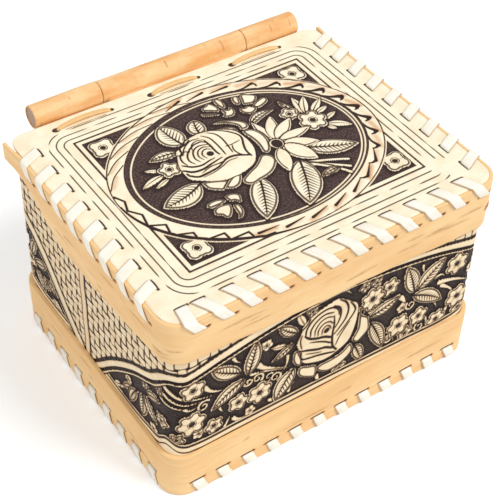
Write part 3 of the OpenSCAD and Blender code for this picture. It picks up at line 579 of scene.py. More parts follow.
WALL_STRIPS = [
    (2.6, ((-104, 86), (-96, 72), (-74, 67))), (2.2, ((-106, 80), (-97, 69), (-80, 66.5))),
    (2.0, ((-108, 74), (-98, 66), (-86, 66))), (2.6, ((-79.5, 76), (-76, 69), (-68, 67.5))),
    (3.2, ((-48, 73), (-46, 68), (-30, 60))), (1.8, ((-52, 68), (-42, 66), (-31, 59))),
    (2.6, ((-62, 41), (-60, 37), (-52, 38))), (2.2, ((-40, 41), (-37, 38), (-35, 41))),
    (2.2, ((-10, 41), (-9, 35), (-5, 34))), (3.0, ((70, 66.5), (80, 65), (93, 57))),
    (2.4, ((72, 63), (80, 58), (82, 52))), (3.0, ((43, 70), (46, 66), (47, 62))),
    (1.8, ((56, 86.5), (56, 83), (58, 80))), (2.0, ((-63, 87), (-61.5, 83), (-58, 81))),
    (2.2, ((64, 55), (70, 53), (71, 46))), (1.8, ((-71, 56), (-70, 52), (-68, 50))),
    (1.6, ((3, 97), (7, 95), (9.5, 90))), (1.8, ((-151, 33), (-138, 46), (-110, 62))),
    (2.0, ((15.5, 78), (20, 75), (17.5, 71))), (1.8, ((-19, 93), (-14, 96.5), (-9, 93))),
    (2.0, ((22, 70.5), (27, 75), (33, 75))), (1.8, ((27, 56), (31, 52), (39, 50))),
    (1.8, ((-30, 69), (-29, 63), (-33, 58))), (2.0, ((36, 41), (41, 44), (42, 36))),
    (1.8, ((63, 44), (66, 40), (64, 35))), (2.0, ((78, 40), (80, 44), (78, 50))),
    (1.8, ((-68, 37), (-66, 41), (-64, 45))), (1.8, ((-91, 66), (-88, 63), (-84, 64))),
    (2.0, ((66, 72), (72, 74), (73, 69))), (1.8, ((-28, 40), (-27, 45), (-24, 46))),
]
WALL_BUDS = [
    ((-52, 40.5), 3.6, 5), ((-43.5, 84.5), 4.2, 5), ((-41, 60), 3.4, 4), ((45, 61), 4.0, 5),
    ((51, 60), 3.0, 4), ((-80, 62.5), 3.4, 4), ((-48, 63), 3.0, 4), ((-53.5, 63.5), 2.6, 4),
    ((-95, 43), 5.2, 5), ((-83, 43), 4.0, 5), ((17, 92), 4.6, 5), ((24.5, 91), 4.6, 5), ((-16, 93), 4.4, 5),
    ((5, 37.5), 5.4, 5), ((88, 37.5), 6.0, 5), ((60, 38), 3.6, 4), ((-37, 57), 3.2, 4),
    ((38, 40.5), 2.6, 4), ((93, 66), 4.2, 5), ((-119, 66), 4.6, 5), ((-136, 53), 3.6, 5),
    ((-106, 75), 4.4, 5), ((-104, 53), 5.6, 5), ((-112, 38.5), 4.0, 5), ((121, 44.5), 5.2, 5),
    ((104.5, 53), 7.6, 6), ((98, 71), 5.2, 5), ((129, 52), 3.4, 5), ((128, 34.5), 3.8, 5),
    ((98, 40.5), 4.2, 5),
]
WALL_LEAVES = [
    ((-24, 82), (-37, 94), 8, 0.8, 1), ((-20, 85), (-25, 96.5), 4.8, 0.3, -1),
    ((-26, 77), (-40.5, 69.5), 6.4, 0.8, 1), ((-31, 77.5), (-41, 80.5), 4, 0.4, 1),
    ((-25, 57), (-37, 36.5), 12, -1.0, 1), ((21.5, 67), (43, 73), 9.5, -1.4, -1),
    ((23, 62.5), (34, 35.5), 10.5, 1.2, 0), ((13.5, 51), (20, 34.5), 8.6, 0.4, 1),
    ((52.5, 68), (44.5, 92), 11, -0.6, -1), ((54, 69), (72.5, 85), 12, 0.8, -1),
    ((51, 67), (74.5, 51), 11, 1.4, -1), ((-58, 73.5), (-76.5, 86.5), 10.5, 0.8, -1),
    ((-54.5, 68.5), (-49, 92.5), 10, -0.6, 1), ((-55, 68), (-76.5, 55), 10, -1.2, 1),
    ((-132, 50), (-143, 42), 6.5, 0.6, 1), ((-128, 52), (-136, 35.5), 7.5, -0.8, 1),
    ((-122, 56), (-123, 36.5), 9, 0.8, 0), ((-120, 57), (-108, 44), 8.5, -0.8, 1),
    ((-118, 60), (-104, 66), 7, 0.7, -1), ((-145, 40), (-152, 35), 4, 0, 1),
    ((108, 53), (124, 60), 7.5, -1.0, -1), ((106, 56), (112, 71), 8, 0.8, 1),
    ((108, 48), (119, 36), 8.5, 0.8, 1), ((102, 47), (104, 33.5), 8, -0.6, 0),
    ((121, 49), (135, 44), 6, 0.5, 1), ((127, 40), (140, 34), 5, 0.3, 1),
]
WALL_FLOWERS = [
    ((-86, 78), 7.6, 5, 20), ((-87, 53), 9, 6, 10), ((-74, 43.5), 6.4, 5, 40), ((-59.5, 52), 7, 5, 0),
    ((-46.5, 51), 8.3, 6, 20), ((34, 82.5), 7, 6, 10), ((23, 80), 8.6, 7, 0), ((81, 75), 8.4, 6, 25),
    ((49.5, 38.5), 6.2, 5, 10), ((44, 48), 8.6, 6, 0), ((58, 47.5), 7.2, 5, 15), ((72, 37), 7.4, 6, 5),
    ((85.5, 48), 8.8, 6, 15),
]


def wall_tooling(tool):
    """The tooled picture of one half of the walls, its x the run from the front's middle. The
    other half repeats it."""
    x, z = tool.x, tool.y
    ribbon_knots = [(-178, 24), (-172.5, 28.5), (-153, 48.5), (-133, 65), (-113, 77.5), (-99, 89),
                    (-90, 88.3), (-70, 92.2), (-40, 98), (0, 101.3), (40, 97), (80, 88.6), (104, 80.5),
                    (123.6, 65.5), (143.6, 44), (163, 26), (171, 20)]
    ribbon = flow(x, ribbon_knots)
    lean = 1 / np.hypot(1, flow(x + 0.5, ribbon_knots) - flow(x - 0.5, ribbon_knots))
    over = (z - ribbon) * lean
    width = flow(x, [(-178, 3.6), (-104, 4.3), (-60, 5), (90, 5), (113, 7), (171, 7)])
    foot = flow(x, [(-178, 29.4), (-118, 29.4), (-108, 31.4), (-101, 37), (-94, 33), (-86, 31.1), (-60, 30.6),
                    (0, 30.2), (50, 28.8), (84, 28.6), (100, 32.5), (112, 29.6), (140, 29.2), (171, 29.4)])
    tool.stain(np.maximum(over, foot + 6 - z))
    for wide, points in WALL_STRIPS:
        tool.strip(points, wide)
    for centre, radius, petals in WALL_BUDS:
        if petals > 4:
            tool.flower(centre, radius, petals, turn=centre[0] * 7)
        else:
            tool.curl(centre, radius * 0.75, centre[0] * 31)
    for leaf in WALL_LEAVES:
        tool.leaf(*leaf)
    for flower in WALL_FLOWERS:
        tool.flower(*flower)
    for points in WALL_PETALS:
        tool.petal(points)
    tool.petal(WALL_BLOOM, rim=0)
    for fold in WALL_FOLDS:
        tool.cut(*fold)
    tool.ink = np.minimum(tool.ink, tool.oval((-6.2, 73.7), 1.7, 1.7))
    # the frame over the foot band, the weave over the ribbon, and the ridge that hides the seam
    tool.clear(z - foot - 6)
    tool.band(z - foot - 6.1, 1.5)
    tool.score(z - foot - 4.4, 1.1)
    tool.score(z - foot - 0.2, 0.8)
    tool.weave(-over)
    tool.score(over - width / 2 - 1.2, 1.6)
    tool.band(over, width)
    tool.put((np.abs(over) < width / 2) & (x > 108), inner=np.abs(over + 1.3))
    tool.score(over + width / 2 + 0.8, 1.3)
    tool.band(over + width / 2 + 2.3, 1.4)
    ridge, ridge_half = half_round + seam_run - 3, 2.6
    tool.clear(np.abs(x - ridge) - ridge_half)
    tool.put(np.abs(x - ridge) < ridge_half, warm=0.2)
    for line, wide in ((ridge - ridge_half, 0.5), (ridge + 2.8, 1.7), (seam_run, 0.9)):
        tool.score(x - line + 0.25 * np.sin(z / 4), wide)


fine, coarse = 0.6, 1.3
skirt_low = 104
rows = np.concatenate([[wrap_low.z, foot_top - 3], np.arange(foot_top - 1, skirt_low, fine),
                       np.arange(skirt_low, wrap_high.z - 0.5, coarse), [wrap_high.z - 0.4, wrap_high.z]])
runs = np.linspace(seam_run, seam_run + half_round, round(half_round / fine))
tool = Tooling(*np.meshgrid(runs, rows, indexing="ij"))
wall_tooling(tool)
rise = np.where(tool.y < foot_top - 1, 0, tool.rise)
rise = np.clip(rise, -0.9, 0.25) - 0.4 * smooth((tool.y - wrap_high.z + 0.5) / 0.5)
wrap_t = 1.7
wrap_line = outline(wrap_high.x, -wrap_high.y, wrap_high.y, wall_radius)


def stained_bark(name, light, tan, brown, ground, fringe, speckle):
    """Tooled bark: dark stain in the ground and lines, light bark on top with brown by the
    lines. fringe is how far in mm the stain has run, speckle how light the ground's specks are."""
    made, w = new_material(name)
    ink, inner, near = w.field("ink"), w.field("inner"), w.field("near")
    stroke, share, warm = w.field("stroke"), w.field("share"), w.field("warm")
    along, up = w.field("along") * mm, w.field("up") * mm
    tone, streak, dash = bark_grain(w, along, up)
    spot = w.place(along, up)
    fuzz = w.noise(spot, 1300.0, 2.0) - 0.5
    edge = ink + fuzz * 0.16
    soft = w.noise(spot, 90.0, 3.0)
    colour = w.mix(soft.step(0.35, 0.75) * 0.4, light, tan)
    colour = w.mix(streak.step(0.5, 0.85) * 0.22, colour, tan)
    colour = w.mix(dash * 0.2, colour, tan)
    colour = w.mix((1 - edge.step(0.0, fringe * 3)) * 0.45, colour, tan)
    colour = w.mix((1 - edge.step(0.0, fringe)) * 0.8, colour, brown)
    # orange: the bark's own tint on the weave and the ridge, and painted shade beside the cuts of the lid's
    # collar
    colour = w.mix(warm, colour, shade(214, 154, 98))
    hatch = stroke.math("FRACT", stroke) - 0.5
    drawn = (share - hatch.math("ABSOLUTE", hatch)).step(-0.05, 0.04) * share.step(0.0, 0.03)
    traced = 1 - (inner.math("ABSOLUTE", inner) + fuzz * 0.08).step(0.22, 0.44)
    fine = drawn.math("MAXIMUM", drawn, traced)
    colour = w.mix(fine * 0.94, colour, w.mix(0.62, brown, ground))
    grit = w.noise(spot, 1100.0, 2.0, 0.7)
    pits = w.node("TexVoronoi", {"Vector": spot, "Scale": 900.0}, out=0)
    stain = w.mix(near.step(0.4, 2.4) * grit.step(0.42, 0.66) * speckle, ground, shade(172, 138, 128))
    stained = 1 - edge.step(-0.12, 0.1)
    colour = w.mix(stained, colour, stain)
    height = streak * 0.35 + soft * 0.5 + stained * pits * 0.9 - fine * 0.7
    return dress(made, colour, 0.62 - 0.06 * stained, height, 0.00035, 0.16)


def behind(values, rest=0.0, before=0, after=2):
    """Values over the face, and the same rest at the points before and after it."""
    return np.pad(values, ((0, 0), (before, after)), constant_values=rest)


def tooled(tool):
    """The tooling's values for a mesh with two points behind its face."""
    return {name: behind(getattr(tool, name), value) for name, value in Tooling.rest.items()}


wall_bark = stained_bark("wall_bark", shade(250, 232, 198), shade(226, 190, 144), shade(122, 84, 58),
                         shade(33, 22, 19), fringe=0.4, speckle=0.12)
for name, shift in (("wall_wrap_front", 0.0), ("wall_wrap_back", half_round)):
    loops = np.empty((len(runs), len(rows) + 2, 3))
    x, y = along_outline(wrap_line, tool.x + shift, rise)
    loops[:, :-2] = np.stack([x, y, tool.y], -1)
    x, y = along_outline(wrap_line, runs + shift, -wrap_t)
    for k, z in ((-2, wrap_high.z), (-1, wrap_low.z)):
        loops[:, k] = np.stack([x, y, np.full(len(x), z)], -1)
    piece = solid(name, [shell(loops, along=behind(tool.x + shift), up=behind(tool.y), **tooled(tool))],
                  wall_bark, "box", "bark_embossed", "wall_wrap")
    share = (rows - rows[0]) / (rows[-1] - rows[0])
    chart(piece, len(runs), len(rows) + 2, np.concatenate([0.06 + 0.92 * share, [0.99, 0.05, 0.0]]))


# ---------------------------------------------------------------- foot band
# A plain tan strip of bark round the foot of the walls, its edges pared
# round. Slits above its lower edge take the laces.
def streaks(run, z, marks, seed, extra, span, levels):
    """How brown each place is: the strip's long lenticels, in part at random."""
    draw = np.random.default_rng(seed)
    places = list(marks)
    for _ in range(extra):
        length = draw.uniform(5, 26)
        places.append((draw.uniform(*span), draw.uniform(*levels), length, draw.uniform(0.25, 0.6)))
    brown = np.zeros(run.shape)
    for middle, level, length, high in places:
        along = (run - middle) / (length / 2)
        sway = level + 0.5 * np.sin(run / 9 + middle)
        across = (z - sway) / (high * (1.15 - np.clip(np.abs(along), 0, 1)))
        brown = np.maximum(brown, np.exp(-across ** 2) * smooth((1 - np.abs(along)) * 2.2))
    return brown


def slits(run, z, centres, level, length=9.2, high=1.15):
    """Distance in mm to the nearest slit: a lens with a small hole at its right end."""
    best = np.full(run.shape, 9.0)
    for centre in centres:
        along = (run - centre) / (length / 2)
        lens = high / 2 * np.sqrt(np.clip(1 - along ** 2, 0, 1))
        away = np.where(np.abs(along) < 1, np.abs(z - level) - lens, 9.0)
        knob = np.hypot(run - centre - length * 0.46, z - level - 0.2) - high * 0.62
        best = np.minimum(best, np.minimum(away, knob))
    return best


# the slits for the laces of each side, from the front round to the left: their number, and the
# part of the side that is free before and after them
lace_w = 7.6
foot_lead, foot_rise = 3.0, 8.3
FOOT_ROWS = dict(enumerate([(12, 18.9, 14.4), (9, 20, 17.4)] * 2))
band_low, band_high = (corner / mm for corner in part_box("foot_band"))
side_half = [band_high.x, band_high.y] * 2
side_out = [band_high.y, band_high.x] * 2


def lace_places(side, row):
    """The left edge of each lace at the rim, from the middle of its side."""
    count, before, after = row
    half = side_half[side]
    return [before - half + k * (2 * half - before - after) / (count - 1) - lace_w / 2
            for k in range(count)]


def run_of(side, x):
    """The run along the walls of a place x from the middle of a side."""
    return x + side * wall_round / 4


def edge_rows(places, stations):
    """Points of a strip's edge at all stations, each place a height and an outward distance."""
    values = [np.broadcast_to(value, stations) for place in places for value in place]
    return np.stack(values, -1).reshape(stations, len(places), 2)


def bent_strip(line, section, before, run, **fields):
    """A strip bent along an outline. section holds a height and an outward distance for each
    point. Its face starts after some points and has runs, and fields with their rest behind it."""
    after = section.shape[1] - run.shape[1] - before
    x, y = along_outline(line, run[:, :1], section[..., 1])
    full = {name: behind(value, rest, before, after) for name, (value, rest) in fields.items()}
    return shell(np.stack([x, y, section[..., 0]], -1), along=behind(run, 0.0, before, after),
                 up=section[..., 0], **full)


def wrap_run(run):
    """The run brought to between minus half and half the way round."""
    return np.mod(run + half_round, wall_round) - half_round


def tan_bark(name):
    """Plain tan bark with long brown lenticels, and painted shade round and inside its slits."""
    made, w = new_material(name)
    along, up = w.field("along") * mm, w.field("up") * mm
    tone, streak, dash = bark_grain(w, along, up)
    mark, slit = w.field("mark"), w.field("slit")
    colour = w.mix(tone.step(0.32, 0.7), shade(252, 214, 158), shade(243, 197, 138))
    colour = w.mix(streak.step(0.5, 0.85) * 0.35, colour, shade(230, 176, 116))
    colour = w.mix(dash * 0.2, colour, shade(205, 145, 88))
    broken = w.noise(w.place(along * 260, up * 1500), 1.0, 2.0).step(0.3, 0.62)
    colour = w.mix(mark * (0.25 + 0.5 * broken), colour, shade(196, 138, 84))
    # painted shade of each slit: a brown rim round it and near black inside it
    colour = w.mix(1 - slit.step(0.0, 1.1), colour, shade(206, 142, 88))
    colour = w.mix(1 - slit.step(-0.12, 0.22), colour, shade(70, 46, 34))
    height = streak * 0.5 + tone * 0.3 - mark * broken * 0.8 - (1 - slit.step(-0.1, 0.5)) * 1.2
    return dress(made, colour, 0.56 + 0.12 * tone, height, 0.0004)


tan = tan_bark("tan_bark")
band_out = band_high.x - wrap_high.x
foot_seam = half_round - 64
runs = np.linspace(foot_seam, foot_seam + wall_round - 0.4, round(wall_round / 1.3))
pared = 0.7
levels = np.concatenate([np.arange(pared, 5.6, 1.2), np.arange(6.0, 11.6, 0.42),
                         np.arange(12.6, foot_top - pared, 1.4)])
run, z = np.meshgrid(runs, levels, indexing="ij")
marks = ((-15, 12.5, 40, 0.6), (63, 18, 34, 0.6), (-120, 12, 44, 0.55), (-175, 17, 8, 0.8),
         (-210, 15, 20, 0.5))
mark = streaks(wrap_run(run), z, marks, 5, 26, (-half_round, half_round), (11, 28))
slit = np.full(run.shape, 9.0)
for side, row in FOOT_ROWS.items():
    places = [x - foot_lead + lace_w / 2 - 0.5 for x in lace_places(side, row)]
    shift = wrap_run(run - run_of(side, 0))
    slit = np.minimum(slit, slits(shift, z, places, foot_rise + 0.55))
wobble = 0.18 * np.sin(run / 31) * np.sin(z / 13) + 0.1 * np.sin(run / 12.7 + z / 9)
out = band_out - 0.12 + wobble - 0.5 * smooth(1 - slit / 0.8)
lower_edge = [(band_low.z + 0.2, band_out - 0.5), (band_low.z + 0.6, band_out - 0.1)]
droop = np.minimum(0.25 * np.sin(runs / 23) + 0.15 * np.sin(runs / 7.9), 0)
upper_edge = [(foot_top + dz + droop, o) for dz, o in ((-0.45, band_out - 0.05), (-0.12, band_out - 0.35),
                                                       (0.0, band_out - 0.9), (-0.05, 0.35), (-0.5, 0.02))]
section = np.concatenate([edge_rows(lower_edge, len(runs)), np.stack([z, out], -1),
                          edge_rows(upper_edge + [(band_low.z, 0.02)], len(runs))], 1)
strip = bent_strip(wrap_line, section, len(lower_edge), run, mark=(mark, 0.0), slit=(slit, 9.0))
solid("foot_band", [strip], tan, "box", "bark_band", "foot_band")


# ---------------------------------------------------------------- foot laces
# Flat laces of white bark. Each comes through a slit in the band, turns
# under the lower edge and goes up through the bottom.
lace_t = 0.8
STRAP = np.array([(-0.5, -0.1), (-0.49, 0.15), (-0.44, 0.36), (-0.25, 0.47), (0, 0.5), (0.25, 0.47),
                  (0.44, 0.36), (0.49, 0.15), (0.5, -0.1), (0.46, -0.5), (0, -0.46), (-0.46, -0.5)])


def strap(middle, across, upward, width, thick):
    """Loops of points for a flat strap along its middle line."""
    a = STRAP[None, :, :1] * np.reshape(width, (-1, 1, 1))
    b = STRAP[None, :, 1:] * thick
    return middle[:, None] + across[:, None] * a + upward[:, None] * b


def crossing(y, z):
    """For a strap along a path in y and z: the directions of its width and of its face, and the
    length run at each station."""
    line = np.stack([np.zeros(len(y)), np.gradient(y), np.gradient(z)], -1)
    line /= np.linalg.norm(line, axis=1)[:, None]
    across = np.tile([1.0, 0.0, 0.0], (len(y), 1))
    return across, np.cross(line, across), lengths(y, z)[:, None]


SIDE_TURNS = [(1, 0), (0, 1), (-1, 0), (0, -1)]


def turn_points(points, side):
    """Points of the front brought to another side."""
    c, s = SIDE_TURNS[side]
    x, y, z = points[..., 0], points[..., 1], points[..., 2]
    return np.stack([x * c - y * s, x * s + y * c, z], -1)


def lace(side, x_edge, path, lead, level, draw):
    """One lace. path holds y inwards from the rim, z from the level of the face that it crosses,
    and the share of the lead."""
    y, z, share = np.array(path, float).T
    slack = draw.uniform(-0.25, 0.25, 3)
    x = x_edge + lace_w / 2 + lead * share + slack[0] + slack[1] * share
    middle = np.stack([x, y - side_out[side], level + z], -1)
    across, upward, reach = crossing(y, z)
    width = (lace_w - 0.35 + 0.5 * slack[2]) * (1 + 0.02 * np.sin(np.arange(len(y)) + x_edge))
    loops = turn_points(strap(middle, across, upward, width, lace_t * 0.92), side)
    return shell(loops, along=reach, up=STRAP[:, 0] * lace_w, tint=draw.uniform(0, 1))


def lace_bark(name, light, deep, line):
    """Bark cut along its fibres, browner at its rims and in the shade of its left edge."""
    made, w = new_material(name)
    along, up, tint = w.field("along") * mm, w.field("up") * mm, w.field("tint")
    fibre = w.noise(w.place(along * 90, up * 1500, tint * 30), 1.0, 3.0)
    patch = w.noise(w.place(along, up, tint * 7), 130.0, 2.0)
    colour = w.mix(patch.step(0.35, 0.75) * 0.5 + tint * 0.2, light, deep)
    colour = w.mix(fibre.step(0.55, 0.85) * 0.4, colour, line)
    rim = (w.field("up").math("ABSOLUTE", w.field("up")) - 3.0).step(0.1, 0.8)
    colour = w.mix(rim * 0.35, colour, line)
    left = (-2.7 - w.field("up")).step(0.1, 0.9)
    colour = w.mix(left * 0.6, colour, shade(170, 128, 84))
    return dress(made, colour, 0.5 + 0.15 * patch, fibre * 0.6 + patch * 0.4, 0.0003)


white_bark = lace_bark("white_bark", shade(253, 250, 240), shade(247, 238, 218), shade(222, 198, 160))
foot_path = [(10.9, 2.2, 1), (10.75, 0.9, 1), (10.3, 0.55, 0.98), (9.2, 0.42, 0.9), (6, 0.40, 0.62),
             (2.6, 0.40, 0.3), (1.0, 0.42, 0.1), (0.25, 0.5, 0), (-0.25, 0.8, -0.05), (-0.4, 1.5, -0.15),
             (-0.45, 3.5, -0.45), (-0.45, 5.8, -0.8), (-0.42, 7.1, -0.97), (-0.1, 7.8, -1), (1.0, 8.05, -1)]
draw = np.random.default_rng(11)
for side, name in enumerate(("front", "right", "back", "left")):
    laces = [lace(side, x, foot_path, foot_lead, 0.0, draw) for x in lace_places(side, FOOT_ROWS[side])]
    solid(f"foot_laces_{name}", laces, white_bark, "box", "bark_lace", f"foot_laces_{name}")


# ---------------------------------------------------------------- lid panel
# The lid's top sheet, tooled with a rose and a lily in a dark oval inside a
# cut collar, four small corner flowers and three fine incised lines.
oval_middle, oval_half, collar_wide = (0.5, 3), (67.3, 52.2), (9.1, 8.0)
# the lid's flowers as smooth outlines, from back to front, then the folds cut in the rose, the
# leaves and the lily's plain leaves
LID_CUPS = [
    ((-2.2, 44.6), (1, 43.2), (6, 40), (5.4, 38.2), (0, 40.4), (-2.6, 42)),
    ((-0.5, 46.5), (0.8, 48.6), (3.3, 49.2), (5.6, 50.6), (7.7, 48.5), (8.8, 45), (8.4, 42), (6.7, 40.9),
     (3.5, 43), (0.5, 45)),
    ((9.2, 50.5), (11, 52), (12.8, 50.9), (13.9, 48), (13.6, 45), (12.3, 42.3), (10, 42.4), (9, 46)),
    ((6.2, 36.3), (8.3, 34.3), (11.3, 33.7), (13.7, 34.7), (15.2, 37.3), (15.3, 40.4), (13.8, 42),
     (12.2, 40), (10.4, 41.8), (8.2, 41.2), (8.4, 38.4)),
    ((18.6, 40.6), (17.8, 43.5), (18.4, 46.5), (20.3, 48.3), (22.5, 48), (23.3, 46), (22.1, 42.5),
     (20.8, 40.4)),
    ((21.6, 39.6), (22.8, 43.2), (23.9, 46.3), (26, 47.6), (29, 45.9), (32, 43.4), (32.1, 41.2), (30, 38.6),
     (27, 37.2), (23.5, 38.2)),
    ((26.5, 36.8), (30, 38.4), (34, 39.3), (36, 37.6), (35.2, 35), (32, 33.2), (28, 32.3), (25, 33.2),
     (24.6, 35.2)),
    ((17, 36), (18.6, 37.9), (20.6, 36.6), (22.7, 37.5), (25.3, 35.2), (26.6, 33), (24.3, 30.7), (21.3, 30),
     (18.8, 31.3), (17.2, 33.4)),
    ((-28.6, -21), (-28.8, -18.6), (-26.1, -17.8), (-23.3, -18.4), (-21.1, -20.5), (-21.1, -23),
     (-22.9, -26.2), (-24.5, -26.1), (-25.8, -24), (-27.9, -23.2)),
    ((-28.4, -26), (-25.5, -26.4), (-25, -29.4), (-26.1, -33), (-29, -36), (-32, -36.2), (-30, -33),
     (-29.4, -29.4)),
    ((-40.2, -20.5), (-38.5, -18.4), (-34.8, -17.9), (-31, -18.9), (-29, -21.2), (-31.5, -22.5),
     (-35.5, -22.7), (-38.8, -22.4)),
    ((-39, -24.6), (-36, -22.9), (-32, -23), (-29, -24.4), (-29.4, -27.6), (-31.8, -31), (-34.4, -32.9),
     (-36.6, -31.8), (-37.2, -29.6), (-39.5, -28)),
]
LID_PETALS = [
    ((-32, -3.6), (-32.6, -7), (-31.8, -9.9), (-28.7, -12.6), (-25.3, -14.2), (-19.5, -10.3), (-24, -6.5)),
    ((-24.6, -13.4), (-20.5, -16), (-15.5, -14.4), (-11.6, -8.6), (-16.5, -7.5), (-23, -11.4)),
    ((-14, -13), (-13.6, -16.4), (-10.3, -18.5), (-5.3, -17.6), (-0.3, -16.8), (4.2, -15), (7.6, -12.2),
     (10.3, -8.6), (10.2, -4.8), (8, -2), (4.8, -1.6), (1.4, -4.2), (-2.6, -7), (-8.7, -9.6)),
    ((7.6, 19.4), (10.5, 20.4), (13.8, 19), (16, 14.7), (16.5, 9.7), (15.3, 4.7), (12.4, -0.4), (9.3, -1.9),
     (7.8, 0.5), (8.8, 6), (8.8, 12)),
    ((-2.4, 33.8), (3.8, 33.8), (9.7, 30.9), (13.6, 27), (14.4, 23.6), (12.6, 21), (8.6, 21.4), (8.6, 25.4),
     (6.4, 28.4), (2.4, 31.2)),
    ((-3.3, 29.2), (1.8, 28.2), (6, 26.2), (7, 22.2), (5.6, 18), (2, 22), (-1, 26)),
]
LID_BLOOM = [
    (-32, 20.9), (-29.9, 24.7), (-23.7, 27.4), (-21.4, 29.4), (-15.3, 31), (-5.75, 29.9), (0.6, 27),
    (5.4, 22.6), (7, 15), (6.2, 6), (1.3, -2.8), (-6, -7), (-17, -8.5), (-25, -6.4), (-32, -1.8),
    (-36, 2.4), (-35.6, 12.2),
]
LID_FOLDS = [
    (0.7, 0.7, ((-19.4, 11.2), (-20.2, 14.5), (-18.6, 17.2), (-16, 18), (-13.9, 16.4))),
    (0.7, 0.7, ((-21.4, 11), (-22.4, 14.8), (-20.4, 18.6), (-16.8, 20), (-13.4, 18.6))),
    (0.8, 0.8, ((-24, 10.6), (-24.9, 14.5), (-22.8, 19.6), (-18.4, 22), (-13.2, 20.8))),
    (0.9, 0.9, ((-27.2, 10.6), (-28.4, 14.5), (-26.4, 19.2), (-21, 23.6), (-15.4, 24.4), (-12.8, 22.4))),
    (0.6, 0.6, ((-22.6, 20.2), (-20.8, 24.4), (-17, 26.2), (-13, 25.2))),
    (0.8, 0.9, ((-31, 12), (-31.8, 15.5), (-30.6, 19.6), (-27.4, 22), (-24.4, 20.6))),
    (0.7, 0.7, ((-28.6, 20), (-26, 23.6), (-22.6, 26.4), (-19, 27.9), (-14.6, 27.4))),
    (1.1, 0.9, ((-31.6, 21.2), (-28.6, 20.4), (-27.4, 25.4), (-22.4, 27.2), (-19.4, 29))),
    (1.1, 1, ((-12.9, 25), (-12.5, 19), (-12.7, 13.6), (-12.2, 10.6))),
    (0.8, 0.8, ((-12.6, 28.6), (-9.7, 24.8), (-9.1, 19.3), (-9.3, 13), (-9.6, 9))),
    (0.8, 0.8, ((-8.8, 29.4), (-5.3, 25.9), (-4.2, 21), (-4.7, 14.7), (-5.6, 8.4))),
    (0.9, 1.2, ((-5.2, 29.6), (0.6, 25.2), (4.6, 19.6), (4.9, 15.6), (2.6, 10.6), (1, 5.6), (1.2, 0.8))),
    (0.7, 0.7, ((-2.6, 13.6), (-4, 9.7), (-3.2, 5.5), (-0.2, 2.4))),
    (0.5, 0.5, ((-6.4, 14.4), (-2, 14.2), (3, 14.8))),
    (1.5, 0.6, ((-33.6, 13), (-29.5, 9.3), (-24.5, 8), (-19.5, 9.1), (-16, 9.5))),
    (1.8, 0.8, ((-35.2, 9.4), (-31.6, 5.9), (-26.2, 5), (-20.3, 6.3), (-12.4, 8))),
    (0.6, 0.8, ((-28, 2.6), (-21.6, 4.6), (-15.6, 4.6), (-12.6, 5.4))),
    (1.2, 1.6, ((-15.4, 3.6), (-12.2, 5.4), (-8.4, 5.9), (-4.5, 4.9), (0.6, 2))),
    (1.7, 0.8, ((-34.6, 4.6), (-31, 1.2), (-25.3, 1.2), (-18, 2.4), (-13.4, 4.8))),
    (0.5, 0.6, ((-29, -0.6), (-22.4, 0), (-16.4, 1.6), (-11.2, 3.6), (-6, 3.4))),
    (1.2, 0.8, ((-35, 6.4), (-34, 3.6), (-30, 1))),
]
LID_LEAVES = [
    ((-24, 27), (-27.5, 47.5), 15, 0.8, -1), ((-12, 29), (-8.5, 42.5), 11, 0.6, -1),
    ((-29, 23), (-47, 24.5), 7.5, -1.2, 1), ((-44, 15), (-53, 20), 3.2, 0, 1),
    ((-45, 12), (-60, 8), 4.6, -0.6, 1), ((-44, 8.5), (-54.5, 4.6), 3.2, 0, 1),
    ((-33, -3.5), (-59, -9.8), 14.5, 2.0, -1), ((-5, -15), (-20, -44), 14.5, 0.6, 1),
    ((20, -15), (4, -46.5), 17, 1.2, 1), ((28, -8), (55.5, -20.5), 12.5, -1.2, -1),
    ((34.5, -31), (21.5, -32.2), 5.4, -0.8, 1), ((43, 15), (39, 32.5), 5.5, 0.6, -1),
    ((45, 15), (47.5, 31), 5, -0.4, -1), ((46, 15), (54, 28.5), 5, 0.4, -1),
    ((49, 13), (61, 22), 4.6, 0.4, -1), ((51, 12), (60, 14.5), 3.6, 0, -1), ((52, 5), (61, 8), 3.6, 0.3, 1),
    ((50, 2), (62, -6.5), 5, 0.6, 1), ((49, 0), (53, -5), 3, 0, 1), ((14, 21), (34, 26.5), 6.5, 3.2, -1),
]
LID_STAR = [
    ((18, 6), (16.4, 24.4), 5.4, 1), ((19, 6), (28.4, 23.6), 7.4, -1), ((20, 5), (36.6, 16.4), 7.6, -1),
    ((20.5, 3.4), (41.4, 4.4), 7, -1), ((20, 0.5), (39, -8), 8.4, -1),
    ((19.5, -0.5), (29.6, -19.4), 10.6, -1), ((16.5, -1), (10.6, -20.2), 8.4, -1),
]


def lid_border(tool):
    """Three fine incised lines round the picture, in places worn away."""
    x, y = tool.x, tool.y

    def frame_line(left, right, low, high, radius):
        qx = np.abs(x - (left + right) / 2) - (right - left) / 2 + radius
        qy = np.abs(y - (low + high) / 2) - (high - low) / 2 + radius
        out = np.hypot(np.maximum(qx, 0), np.maximum(qy, 0))
        return out + np.minimum(np.maximum(qx, qy), 0) - radius

    first = frame_line(-77, 75.6, -58.6, 62.4, 5)
    second = frame_line(-81, 80.2, -63.4, 66.4, 9)
    third = frame_line(-85, 84.6, -67.9, 70.2, 13)
    gap = 4.0
    count = np.where(first < 0, first / gap, first / np.maximum(first - second, 0.1))
    count = np.where(second > 0, 1 + second / np.maximum(second - third, 0.1), count)
    count = np.where(third > 0, 2 + third / gap, count)
    worn = smooth(1.7 * np.sin(x / 5.1 + 3 * np.round(count)) * np.sin(y / 3.7 + x / 9.0) - 0.35)
    bare = (x > 72 + 3 * count) & (y < -50 - 2 * count)
    share = np.where((first > -1.5) & (third < 1.5) & ~bare, 0.088 - 0.08 * worn, 0.0)
    tool.put(first > -1.5, stroke=count + 0.5, share=share)
    tool.rise -= 0.15 * (share > 0.02) * np.exp(-((count - np.round(count)) * gap / 0.5) ** 2)


